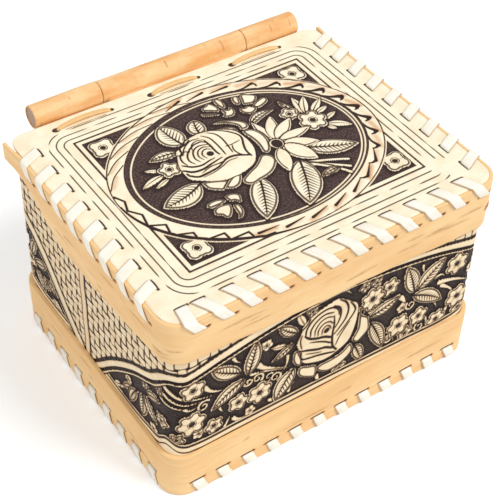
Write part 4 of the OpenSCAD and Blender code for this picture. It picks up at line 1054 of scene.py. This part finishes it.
def on_collar(turn, across):
    """A place on the collar: turn in degrees round the oval, across 0 at the oval, 1 outside."""
    turn = math.radians(turn)
    return (oval_middle[0] + (oval_half[0] + collar_wide[0] * across) * math.cos(turn),
            oval_middle[1] + (oval_half[1] + collar_wide[1] * across) * math.sin(turn))


# the stepped cut on the collar's lower left
LID_STEPS = [
    (-74.9, 11), (-72, 5), (-74.2, -1.7), (-69.6, -8), (-71.3, -16.3), (-63.6, -20.3), (-65.3, -28.3),
    (-55.4, -32.3), (-56, -39.7), (-43, -40.6), (-42.8, -46), (-32.6, -46.2), (-32, -52.3), (-22, -53.4),
]


def lid_collar(tool, inner, outer):
    """The cut collar round the oval: steps on the lower left, slanting teeth elsewhere, and orange painted
    shade beside the cuts.
    """
    teeth, cuts, first_turn = 31, 25, 165
    collar = (inner > 0) & (outer < 0)
    angle = np.degrees(np.arctan2(tool.y - oval_middle[1], tool.x - oval_middle[0]))
    heavy = 1.5 * np.exp(-((angle + 142) / 36) ** 2)
    tool.put(collar, ink=np.minimum(tool.ink, -outer - heavy))

    # orange painted shade, fading away from one side of a cut
    def glow(line, reach, strength):
        warm = strength * smooth(1 - tool.away(np.array(line, float)) / reach)
        tool.put(collar, warm=np.maximum(tool.warm, warm))

    def slash(line, half):
        away = tool.away(np.array(line, float), half)
        tool.put(collar, ink=np.minimum(tool.ink, away), rise=tool.rise - 0.5 * smooth(0.6 - away))

    for x, y in LID_STEPS[2::2]:
        glow([(x - 3.4, y - 1), (x - 1.4, y - 6)], 3.4, 0.7)
    slash(LID_STEPS, 0.55)
    for k in range(cuts):
        turn = first_turn - 360 / teeth * k
        if turn > 97:
            line = [on_collar(turn + 3, 0.95), on_collar(turn - 6, 0.6), on_collar(turn - 15, 0.12)]
            slash(through(line), 0.25)
            glow([on_collar(turn + 2, 0.75), on_collar(turn - 6, 0.45)], 2.2, 0.45)
            continue
        bold = 0.85 + 0.75 * math.exp(-((turn - 8) / 34) ** 2)
        low = 0.04 if -35 < turn < 62 else 0.34
        line = through([on_collar(turn + 9, low), on_collar(turn + 4, low + 0.16), on_collar(turn, 0.66)])
        slash(line, np.linspace(0.2, bold, len(line)))
        if abs(turn) < 62:
            line = through([on_collar(turn, 0.62), on_collar(turn - 1.6, 0.5), on_collar(turn - 2.2, 0.3)])
            slash(line, np.linspace(0.85 * bold, 0.3, len(line)))
        glow([on_collar(turn + 7, 0.5), on_collar(turn - 1, 0.84)], 2.8, 0.52 + 0.25 * math.sin(k * 2.4))


def lid_tooling(tool):
    """The tooled picture of the lid's top."""
    x, y = tool.x, tool.y
    lid_border(tool)
    left, right, low, high = -71.2, 71.4, -54, 58.8
    box = np.maximum(np.maximum(left - x, x - right), np.maximum(low - y, y - high))
    inner = tool.oval(oval_middle, *oval_half)
    outer = tool.oval(oval_middle, oval_half[0] + collar_wide[0], oval_half[1] + collar_wide[1])
    corner = np.maximum(box + 2.9, 1.2 - outer)
    tool.stain(corner)
    for centre in ((-60.4, 47.3), (60.5, 48), (61.2, -42.5), (-59.8, -42.3)):
        tool.flower(centre, 8.4, 4, 45, eye=0.18)
    tool.put((corner > 0) & (box < 0), **dict(tool.rest, ink=np.minimum(corner, tool.far)))
    tool.score(box, 1.0, 0.35)
    tool.place(outer, height=0.35)
    lid_collar(tool, inner, outer)
    tool.place(inner, height=0.3)
    outer_ring = np.abs(inner + 1.3) + 0.5 * smooth(0.5 - x / 60)
    ring = np.minimum(np.abs(inner + 3.2), outer_ring)
    tool.put(inner < 0, ink=np.maximum(-3.0, 0.55 - ring), near=3.0,
             rise=0.3 * np.exp(-(ring / 0.5) ** 2) - 0.6 * smooth(-inner))
    for points in (((20, -18), (32, -22), (42, -28)), ((21, -19), (30, -25), (39.5, -33)),
                   ((22, -20), (32, -28), (37, -37))):
        tool.strip(points, 1.6, taper=0)
    for leaf in LID_LEAVES:
        tool.leaf(*leaf)
    for flower in (((38, 19), 6, 5, 20), ((45.6, 8), 8.6, 6, 0), ((-40.6, 14), 6.6, 5, 18)):
        tool.flower(*flower)
    for points in LID_CUPS:
        tool.petal(points, rim=1.0)
    for points in LID_PETALS[:3]:
        tool.petal(points)
    for base, end, wide, lit in LID_STAR:
        tool.leaf(base, end, wide, 0, lit, rim=1.2, plain=True)
    for points in LID_PETALS[3:]:
        tool.petal(points)
    tool.place(tool.oval((17.8, 2.2), 3.9, 4.1), (tool.oval((17.9, 2), 2.9, 3.3),))
    tool.petal(LID_BLOOM, rim=0)
    for fold in LID_FOLDS:
        tool.cut(*fold)
    tool.ink = np.minimum(tool.ink, tool.oval((-16.2, 13.4), 1.9, 1.9))


LID_ROWS = {0: (12, 11.9, 17.8), 1: (9, 22.7, 14.9), 3: (8, 24.9, 25.8)}
lid_lead, lace_reach = 5.1, 11.2
panel_low, panel_high = (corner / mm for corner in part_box("lid_panel"))
front_round, back_round = 10.8, 8.0


def spread(knots, fine, coarse):
    """Grid lines between the outer knots, fine between the inner two."""
    a, b, c, d = knots
    return np.concatenate([np.linspace(a, b, max(2, round((b - a) / coarse)), endpoint=False),
                           np.linspace(b, c, round((c - b) / fine), endpoint=False),
                           np.linspace(c, d, max(2, round((d - c) / coarse)) + 1)])


columns = spread((panel_low.x, -76, 77.5, panel_high.x), 0.5, 0.8)
share = spread((panel_low.y, -58, 64, panel_high.y), 0.5, 0.8)
share = (share - share[0]) / (share[-1] - share[0])
over_edge = np.abs(columns) - (panel_high.x - front_round)
front_y = panel_low.y + front_round - np.sqrt(front_round ** 2 - np.clip(over_edge, 0, None) ** 2)
over_edge = np.abs(columns) - (panel_high.x - back_round)
back_y = panel_high.y - back_round + np.sqrt(back_round ** 2 - np.clip(over_edge, 0, None) ** 2)
y = front_y[:, None] + share[None] * (back_y - front_y)[:, None]
x = np.repeat(columns[:, None], len(share), 1)
tool = Tooling(x, y)
lid_tooling(tool)
for side, row in LID_ROWS.items():
    c, s = SIDE_TURNS[side]
    along, deep = x * c + y * s, side_out[side] - (x * s - y * c)
    first = lace_reach - 2 * lace_t - side_half[side]
    places = [max(edge - lid_lead, first) + lace_w / 2 + 0.3 for edge in lace_places(side, row)]
    # the slits where the laces come up are stained near black: painted shade in their openings
    tool.stain(slits(along, -deep, places, -lace_reach - 0.35, 8.2, 1.3), 0.5, 0.6, 1)
# the running stitch goes through small holes, stained dark as painted shade, and a thin dark line beside each
# arch is its painted shadow
stitch_low, stitch_high = (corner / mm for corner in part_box("hinge_leaf_lid_stitch"))
stitch_y = (stitch_low.y + stitch_high.y) / 2
sewn_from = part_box("hinge_leaf_lid")[0].x / mm + 8
top_runs = [(sewn_from + start, sewn_from + end) for start, end in ((0, 32), (58, 87), (111, 142))]
for start, end in top_runs:
    # a thin dark line beside the arch, its painted shadow, and painted shade in its two holes
    stitch_shadow = tool.away(np.array([(start + 4, stitch_y - 2.5), (end - 4, stitch_y - 2.5)]), 0.22)
    hole = np.minimum(tool.oval((start - 0.7, stitch_y), 2.3, 1.7),
                      tool.oval((end + 0.4, stitch_y), 1.6, 1.2))
    tool.ink = np.minimum(tool.ink, stitch_shadow)
    tool.stain(hole, 0.5, 1)
rim = np.minimum(np.minimum(panel_high.x - np.abs(x), y - front_y[:, None]), back_y[:, None] - y)
rise = np.clip(tool.rise, -1.0, 0.4) - 0.55 * (1 - np.clip(rim / 0.8, 0, 1)) ** 2
loops = np.empty((len(columns), len(share) + 2, 3))
loops[:, :-2] = np.stack([x, y, panel_high.z + rise], -1)
for k, edge_y in ((-2, back_y), (-1, front_y)):
    loops[:, k] = np.stack([columns, edge_y, np.full(len(columns), panel_low.z)], -1)
lid_bark = stained_bark("lid_bark", shade(255, 247, 222), shade(236, 207, 160), shade(122, 84, 56),
                        shade(50, 36, 35), fringe=0.22, speckle=0.3)
piece = solid("lid_panel", [shell(loops, along=behind(x), up=behind(y), **tooled(tool))],
              lid_bark, "lid", "bark_embossed", "lid_panel")
chart(piece, len(columns), len(share) + 2, np.concatenate([0.04 + 0.94 * share, [0.985, 0.03, 0.0]]))


# ---------------------------------------------------------------- lid skirt
# A tan strip bent round the left, front and right of the lid, open at the
# hinge, where its free ends stand off a little. A knot shows at the corner.
skirt_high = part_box("lid_skirt")[1] / mm
skirt_end = skirt_high.y
skirt_line = outline(wrap_high.x, -wrap_high.y, skirt_end + 3 * wall_radius, wall_radius)
skirt_out = skirt_high.x - wrap_high.x
lid_top = panel_high.z
# how far it hangs below the lid's top: at the front's two corners, on the sides and at its ends
drop_left, drop_right, drop_side, drop_end = 26.4, 30.6, 31.4, 10.8
front_straight = wrap_high.x - wall_radius
corner_run = front_straight + math.pi / 2 * wall_radius
reach = corner_run + skirt_end + wrap_high.y - wall_radius
runs = np.linspace(-reach, reach, round(2 * reach / 1.25))
y_of = np.abs(runs) - corner_run - (wrap_high.y - wall_radius)
drop_front = np.where(runs < 0, drop_left, drop_right)
rise_from, rise_to = panel_high.y - 66, panel_high.y - 6
lower = (drop_left + (drop_right - drop_left) * np.clip(runs / side_half[0] * 0.5 + 0.5, 0, 1))
lower = np.where(np.abs(runs) > corner_run, drop_front
                 - (drop_front - drop_side) * smooth((y_of + 69.4) / 69.4)
                 - (drop_side - drop_end) * smooth((y_of - rise_from) / (rise_to - rise_from)), lower)
lower = lid_top - lower + 0.35 * np.sin(runs / 17) + 0.2 * np.sin(runs / 6.1)
skirt_top = skirt_high.z
lid_drop = 7.0
slit_zone = lid_top - lid_drop
upper = np.concatenate([np.arange(slit_zone - 2.2, slit_zone + 1.4, 0.42),
                        np.arange(slit_zone + 2.2, skirt_top - 0.8, 1.1)])
share = np.linspace(0, 1, 20)
z = np.concatenate([lower[:, None] + 0.8 + share[None] * (slit_zone - 3.0 - lower[:, None] - 0.8),
                    np.repeat(upper[None], len(runs), 0)], 1)
run = np.repeat(runs[:, None], z.shape[1], 1)
marks = ((-61, 114, 34, 0.7), (11, 107, 24, 0.6), (65, 110, 40, 0.8), (-186, 110, 14, 0.6),
         (-163, 106, 22, 0.5), (-150, 99, 26, 0.5), (-118, 114, 20, 0.5), (-102, 108, 12, 0.5),
         (-100, 105.5, 14, 0.5), (-238, 113, 18, 0.6), (-96, 111, 10, 0.45))
mark = streaks(run, z, marks, 3, 22, (-reach, reach), (100, 119))
knot = np.hypot(run - (front_straight + 5.2), (z - 111) * 1.05)
slit = np.full(run.shape, 9.0)
for side, row in LID_ROWS.items():
    quarter = side if side < 2 else side - 4
    middle = run_of(quarter, 0)
    places = [x + lid_lead + lace_w / 2 + 0.9 for x in lace_places(side, row)]
    slit = np.minimum(slit, slits(run - middle, z, places, slit_zone - 0.3, 9.4, 1.0))
flare = 1.6 * smooth((np.abs(runs) - reach + 26) / 26) ** 2
wobble = 0.15 * np.sin(run / 27) * np.sin(z / 11) + 0.1 * np.sin(run / 10.3 + z / 7)
out = skirt_out - 0.12 + wobble - 0.45 * smooth(1 - slit / 0.8) + 0.7 * np.exp(-(knot / 2.6) ** 2)
out = out + flare[:, None]
lower_edge = [(lower + 0.12, skirt_out - 1.1 + flare), (lower, skirt_out - 0.8 + flare),
              (lower + 0.25, skirt_out - 0.35 + flare)]
upper_edge = [(skirt_top - 0.35, skirt_out - 0.2 + flare), (skirt_top - 0.08, skirt_out - 0.55 + flare),
              (skirt_top, skirt_out - 1.1 + flare), (skirt_top - 0.1, 0.6 + flare),
              (skirt_top - 0.5, 0.42 + flare), (lower + 0.5, 0.42 + flare)]
section = np.concatenate([edge_rows(lower_edge, len(runs)), np.stack([z, out], -1),
                          edge_rows(upper_edge, len(runs))], 1)
tan_lid = tan.copy()
tan_lid.name = "tan_bark_knot"
w = Wire(tan_lid.node_tree)
shader = tan_lid.node_tree.nodes["Principled BSDF"]
skin = Wire(tan_lid.node_tree, shader.inputs["Base Color"].links[0].from_socket)
away = w.field("knot")
brown = w.mix(away.step(0.4, 2.2), shade(150, 92, 52), shade(205, 140, 84))
skin = w.mix(1 - away.step(2.1, 3.4), skin, brown)
tan_lid.node_tree.links.new(skin.socket, shader.inputs["Base Color"])
strip = bent_strip(skirt_line, section, len(lower_edge), run, mark=(mark, 0.0), slit=(slit, 9.0),
                   knot=(knot, 20.0))
solid("lid_skirt", [strip], tan_lid, "lid", "bark_band", "lid_skirt")


# ---------------------------------------------------------------- lid laces
# The same white laces over the lid's rim: up through a slit in the panel,
# slantwise over the edge and down, and in through a slit in the skirt.
lid_path = [(11.05, -1.3, -1), (10.9, -0.2, -1), (10.5, 0.32, -0.97), (9.4, 0.52, -0.87), (6.5, 0.62, -0.6),
            (3.2, 0.6, -0.3), (1.1, 0.52, -0.1), (0.3, 0.38, -0.02), (-0.25, 0.05, 0), (-0.48, -0.7, 0.08),
            (-0.52, -2.6, 0.35), (-0.52, -4.6, 0.66), (-0.48, -6.2, 0.9), (-0.2, -6.95, 0.98), (0.9, -7.2, 1)]
draw = np.random.default_rng(23)
for side, name in ((0, "front"), (1, "right"), (3, "left")):
    first = lace_reach - 2 * lace_t - side_half[side]
    laces = []
    for x_edge in lace_places(side, LID_ROWS[side]):
        lead = min(lid_lead, x_edge - first)
        path = [(y, z, s * lead / lid_lead if s < 0 else s) for y, z, s in lid_path]
        laces.append(lace(side, x_edge, path, lid_lead, lid_top, draw))
    solid(f"lid_laces_{name}", laces, white_bark, "lid", "bark_lace", f"lid_laces_{name}")


# ---------------------------------------------------------------- hinge
# Bark leaves rolled round a wooden rod: the middle loop is the box's, the
# two outer ones are the lid's, and thin laces sew the leaves on.
lid_leaf_low, lid_leaf_high = (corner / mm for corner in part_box("hinge_leaf_lid"))
box_leaf_low, box_leaf_high = (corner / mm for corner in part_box("hinge_leaf_box"))
rod_low, rod_high = (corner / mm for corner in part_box("hinge_dowel"))
rod_r = (rod_high.z - rod_low.z) / 2
axle_y, axle_z = (rod_low.y + rod_high.y) / 2, (rod_low.z + rod_high.z) / 2
loop_r = box_leaf_high.z - axle_z
leaf_t = 1.2


def rolled(left, right, seed, gap):
    """A bark roll round the rod, with the step of its outer edge and rounded ends."""
    seam_turn = math.radians(205)
    turns = seam_turn + np.linspace(0, 2 * math.pi, 72, endpoint=False)
    across = np.concatenate([[left + 0.02, left + 0.35], np.arange(left + 1.2, right - 1, 1.3),
                             [right - 0.35, right - 0.02]])
    draw = np.random.default_rng(seed)
    phase = draw.uniform(0, 6, 3)
    turn, place = np.meshgrid(turns, across, indexing="ij")
    seam = np.mod(turn - seam_turn - 0.02 * np.sin(place / 9), 2 * math.pi)
    soft = 0.12 * np.sin(2 * turn + place / 31 + phase[0]) + 0.08 * np.sin(place / 13 + phase[1])
    ends = 0.35 * (smooth(1 - (place - left) / 0.4) + smooth(1 - (right - place) / 0.4))
    radius = loop_r - 0.25 + soft - ends - 0.5 * (1 - smooth(seam / 0.12)) * smooth(seam / 0.02 + 0.2)
    inner = rod_r + gap
    loops = np.empty((len(turns), len(across) + 2, 3))
    loops[:, :-2] = np.stack([place, axle_y - radius * np.sin(turn), axle_z + radius * np.cos(turn)], -1)
    for k, place_x in ((-2, right - 0.02), (-1, left + 0.02)):
        loops[:, k] = np.stack([np.full(len(turns), place_x), axle_y - inner * np.sin(turns),
                                axle_z + inner * np.cos(turns)], -1)
    crack = 1 - smooth(np.minimum(seam, 2 * math.pi - seam) / 0.07)
    return shell(loops, around=True, along=behind(place, 1000.0), up=turns[:, None] * loop_r,
                 crack=behind(crack))


def sheet_along(path, left, right, thick):
    """A flat leaf: path in y and z, between two places along the hinge."""
    y, z = np.array(path, float).T
    across, upward, reach = crossing(y, z)
    middle = np.stack([np.full(len(y), (left + right) / 2), y, z], -1)
    loops = strap(middle, across, upward, right - left, thick)
    return shell(loops, along=loops[..., 0], up=reach + 100, crack=0.0)


def hinge_bark(name):
    """Orange bark with its fibres along the turn, short brown dashes and a dark crack."""
    made, w = new_material(name)
    along, up, crack = w.field("along") * mm, w.field("up") * mm, w.field("crack")
    tone = w.noise(w.place(along * 30, up * 110), 1.0, 4.0)
    fibre = w.noise(w.place(along * 420, up * 90), 1.0, 3.0)
    dash = w.noise(w.place(along * 520, up * 95, 2.0), 1.0, 1.0, 0.3).step(0.71, 0.76)
    colour = w.mix(tone.step(0.3, 0.7), shade(250, 211, 158), shade(234, 170, 104))
    colour = w.mix(fibre.step(0.5, 0.82) * 0.25, colour, shade(214, 142, 82))
    colour = w.mix(dash * 0.45, colour, shade(176, 108, 62))
    colour = w.mix(crack * 0.8, colour, shade(120, 72, 44))
    return dress(made, colour, 0.5 + 0.15 * tone, fibre * 0.5 + tone * 0.4 - dash * 0.5, 0.0005)


rolled_bark = hinge_bark("rolled_bark")
gap = 0.15
loop_left, loop_right = box_leaf_low.x, box_leaf_high.x
leaf_z = panel_low.z - leaf_t / 2
lid_leaf = [rolled(lid_leaf_low.x, loop_left - 2 * gap, 1, 0.06),
            rolled(loop_right + 2 * gap, lid_leaf_high.x, 2, 0.06)]
tab_path = [(lid_leaf_low.y + 0.5, leaf_z), (75, leaf_z), (80, leaf_z), (axle_y - 6.2, leaf_z - 0.05),
            (axle_y - 4.6, leaf_z - 0.35)]
lid_leaf.append(sheet_along(tab_path, lid_leaf_low.x + 6.4, loop_left - 1, leaf_t - 0.05))
lid_leaf.append(sheet_along(tab_path, loop_right + 1, lid_leaf_high.x - 6.4, leaf_t - 0.05))
lid_leaf.append(sheet_along([(lid_leaf_low.y + 0.5, leaf_z), (70, leaf_z), (79, leaf_z)], loop_left - 2,
                            loop_right + 2, leaf_t - 0.05))
solid("hinge_leaf_lid", lid_leaf, rolled_bark, "lid", "bark_hinge", "hinge_leaf_lid")

leaf_y = wrap_high.y + leaf_t / 2
leaf_front = axle_y - loop_r + leaf_t / 2
wall_top = wrap_high.z
box_path = [(leaf_y, box_leaf_low.z), (leaf_y, 90), (leaf_y, wall_top - 16),
            (leaf_y + 0.15, wall_top - 13.5), (leaf_y + 0.9, wall_top - 9.5),
            (leaf_front, wall_top - 5.5), (leaf_front, wall_top - 2), (leaf_front, axle_z - 2)]
box_leaf = [rolled(loop_left + 0.02, loop_right - 0.02, 3, 0.01),
            sheet_along(box_path, loop_left + 3.2, loop_right - 3.2, leaf_t - 0.1)]
solid("hinge_leaf_box", box_leaf, rolled_bark, "box", "bark_hinge", "hinge_leaf_box")

dowel_wood, w = new_material("dowel_wood")
spot = w.node("TexCoord", out=3)
x, y, z = (w.node("SeparateXYZ", (spot,), out=k) for k in range(3))
off_heart = 1.2 * mm
from_heart = w.place(0.0, y - axle_y * mm + off_heart, z - axle_z * mm)
rings = w.node("VectorMath", (from_heart,), out=1, operation="LENGTH")
wavy = rings * 6500 + w.noise(spot, 260.0) * 3.2
ring_tone = wavy.math("SINE", wavy).step(-1.0, 1.0)
ray = w.noise(spot, 900.0, 2.0)
colour = w.mix(ring_tone, shade(196, 168, 150), shade(166, 136, 118))
colour = w.mix(ray.step(0.45, 0.8) * 0.5, colour, shade(214, 190, 170))
dress(dowel_wood, colour, 0.6 + 0.1 * ray, ring_tone * 0.5 + ray * 0.5, 0.0003)
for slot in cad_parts["hinge_dowel"].material_slots:
    slot.material = dowel_wood


# ---------------------------------------------------------------- stitches
# Thin tan laces in running stitch: along the lid's back border, and at the
# back through the box's leaf. One more closes the foot band's seam.
def stitch(start, end, level, y, width, thick, lift, out=(0, 0, 1), bow=0.0):
    """One stitch that comes up at start and goes down at end."""
    share = np.array([0, 0.004, 0.02, 0.06, 0.14, 0.3, 0.5, 0.7, 0.86, 0.94, 0.98, 0.996, 1.0])
    high = np.array([-1.6, -0.5, 0.1, 0.3, 0.4, 0.4, 0.4, 0.4, 0.4, 0.3, 0.1, -0.5, -1.6])
    high = high + lift * np.sin(math.pi * share) ** 0.8
    taper = np.array([0.62, 0.66, 0.74, 0.86, 0.95, 1, 1, 1, 0.94, 0.84, 0.7, 0.62, 0.6])
    out = np.array(out, float)
    sideways = np.array([0, 1.0, 0] if out[2] else [0, 0, 1.0])
    x = start + share * (end - start)
    middle = x[:, None] * np.array([1.0, 0, 0]) + sideways * y + out * (level + high[:, None])
    middle = middle + sideways * (bow * np.sin(math.pi * share))[:, None]
    line = np.gradient(middle, axis=0)
    line /= np.linalg.norm(line, axis=1)[:, None]
    across = np.tile(sideways, (len(x), 1))
    upward = np.cross(across, line)
    upward *= np.sign((upward * out).sum(1).sum())
    loops = strap(middle, across, upward, width * taper, thick)
    return shell(loops, along=(x - start)[:, None], up=STRAP[:, 0] * width, tint=start * 0.37 % 1)


thread = lace_bark("thread_bark", shade(244, 204, 146), shade(232, 180, 118), shade(196, 132, 78))
stitch_w = stitch_high.y - stitch_low.y
under_runs = [(end, start) for (_, end), (start, _) in zip(top_runs, top_runs[1:])]
sewn = [stitch(start, end, lid_top, stitch_y, stitch_w * 0.7, 0.8, 1.5, bow=0.5) for start, end in top_runs]
sewn += [stitch(start, end, leaf_t - panel_low.z, stitch_y, stitch_w, 0.6, 0.2, out=(0, 0, -1))
         for start, end in under_runs]
solid("hinge_leaf_lid_stitch", sewn, thread, "lid", "bark_stitch", "hinge_leaf_lid_stitch")

for name in ("hinge_leaf_box_stitch", "foot_seam_lace"):
    low, high = (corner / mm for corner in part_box(name))
    level = (low.z + high.z) / 2
    wide = high.z - low.z
    base = high.y - lace_t
    count = 3 if name == "hinge_leaf_box_stitch" else 1
    pitch = (high.x - low.x) / (2 * count - 1)
    sewn = [stitch(low.x + 2 * k * pitch, low.x + (2 * k + 1) * pitch, base, level, wide, 0.6, 0.1,
                   out=(0, 1, 0)) for k in range(count)]
    solid(name, sewn, thread if count > 1 else white_bark, "box", "bark_stitch", name)
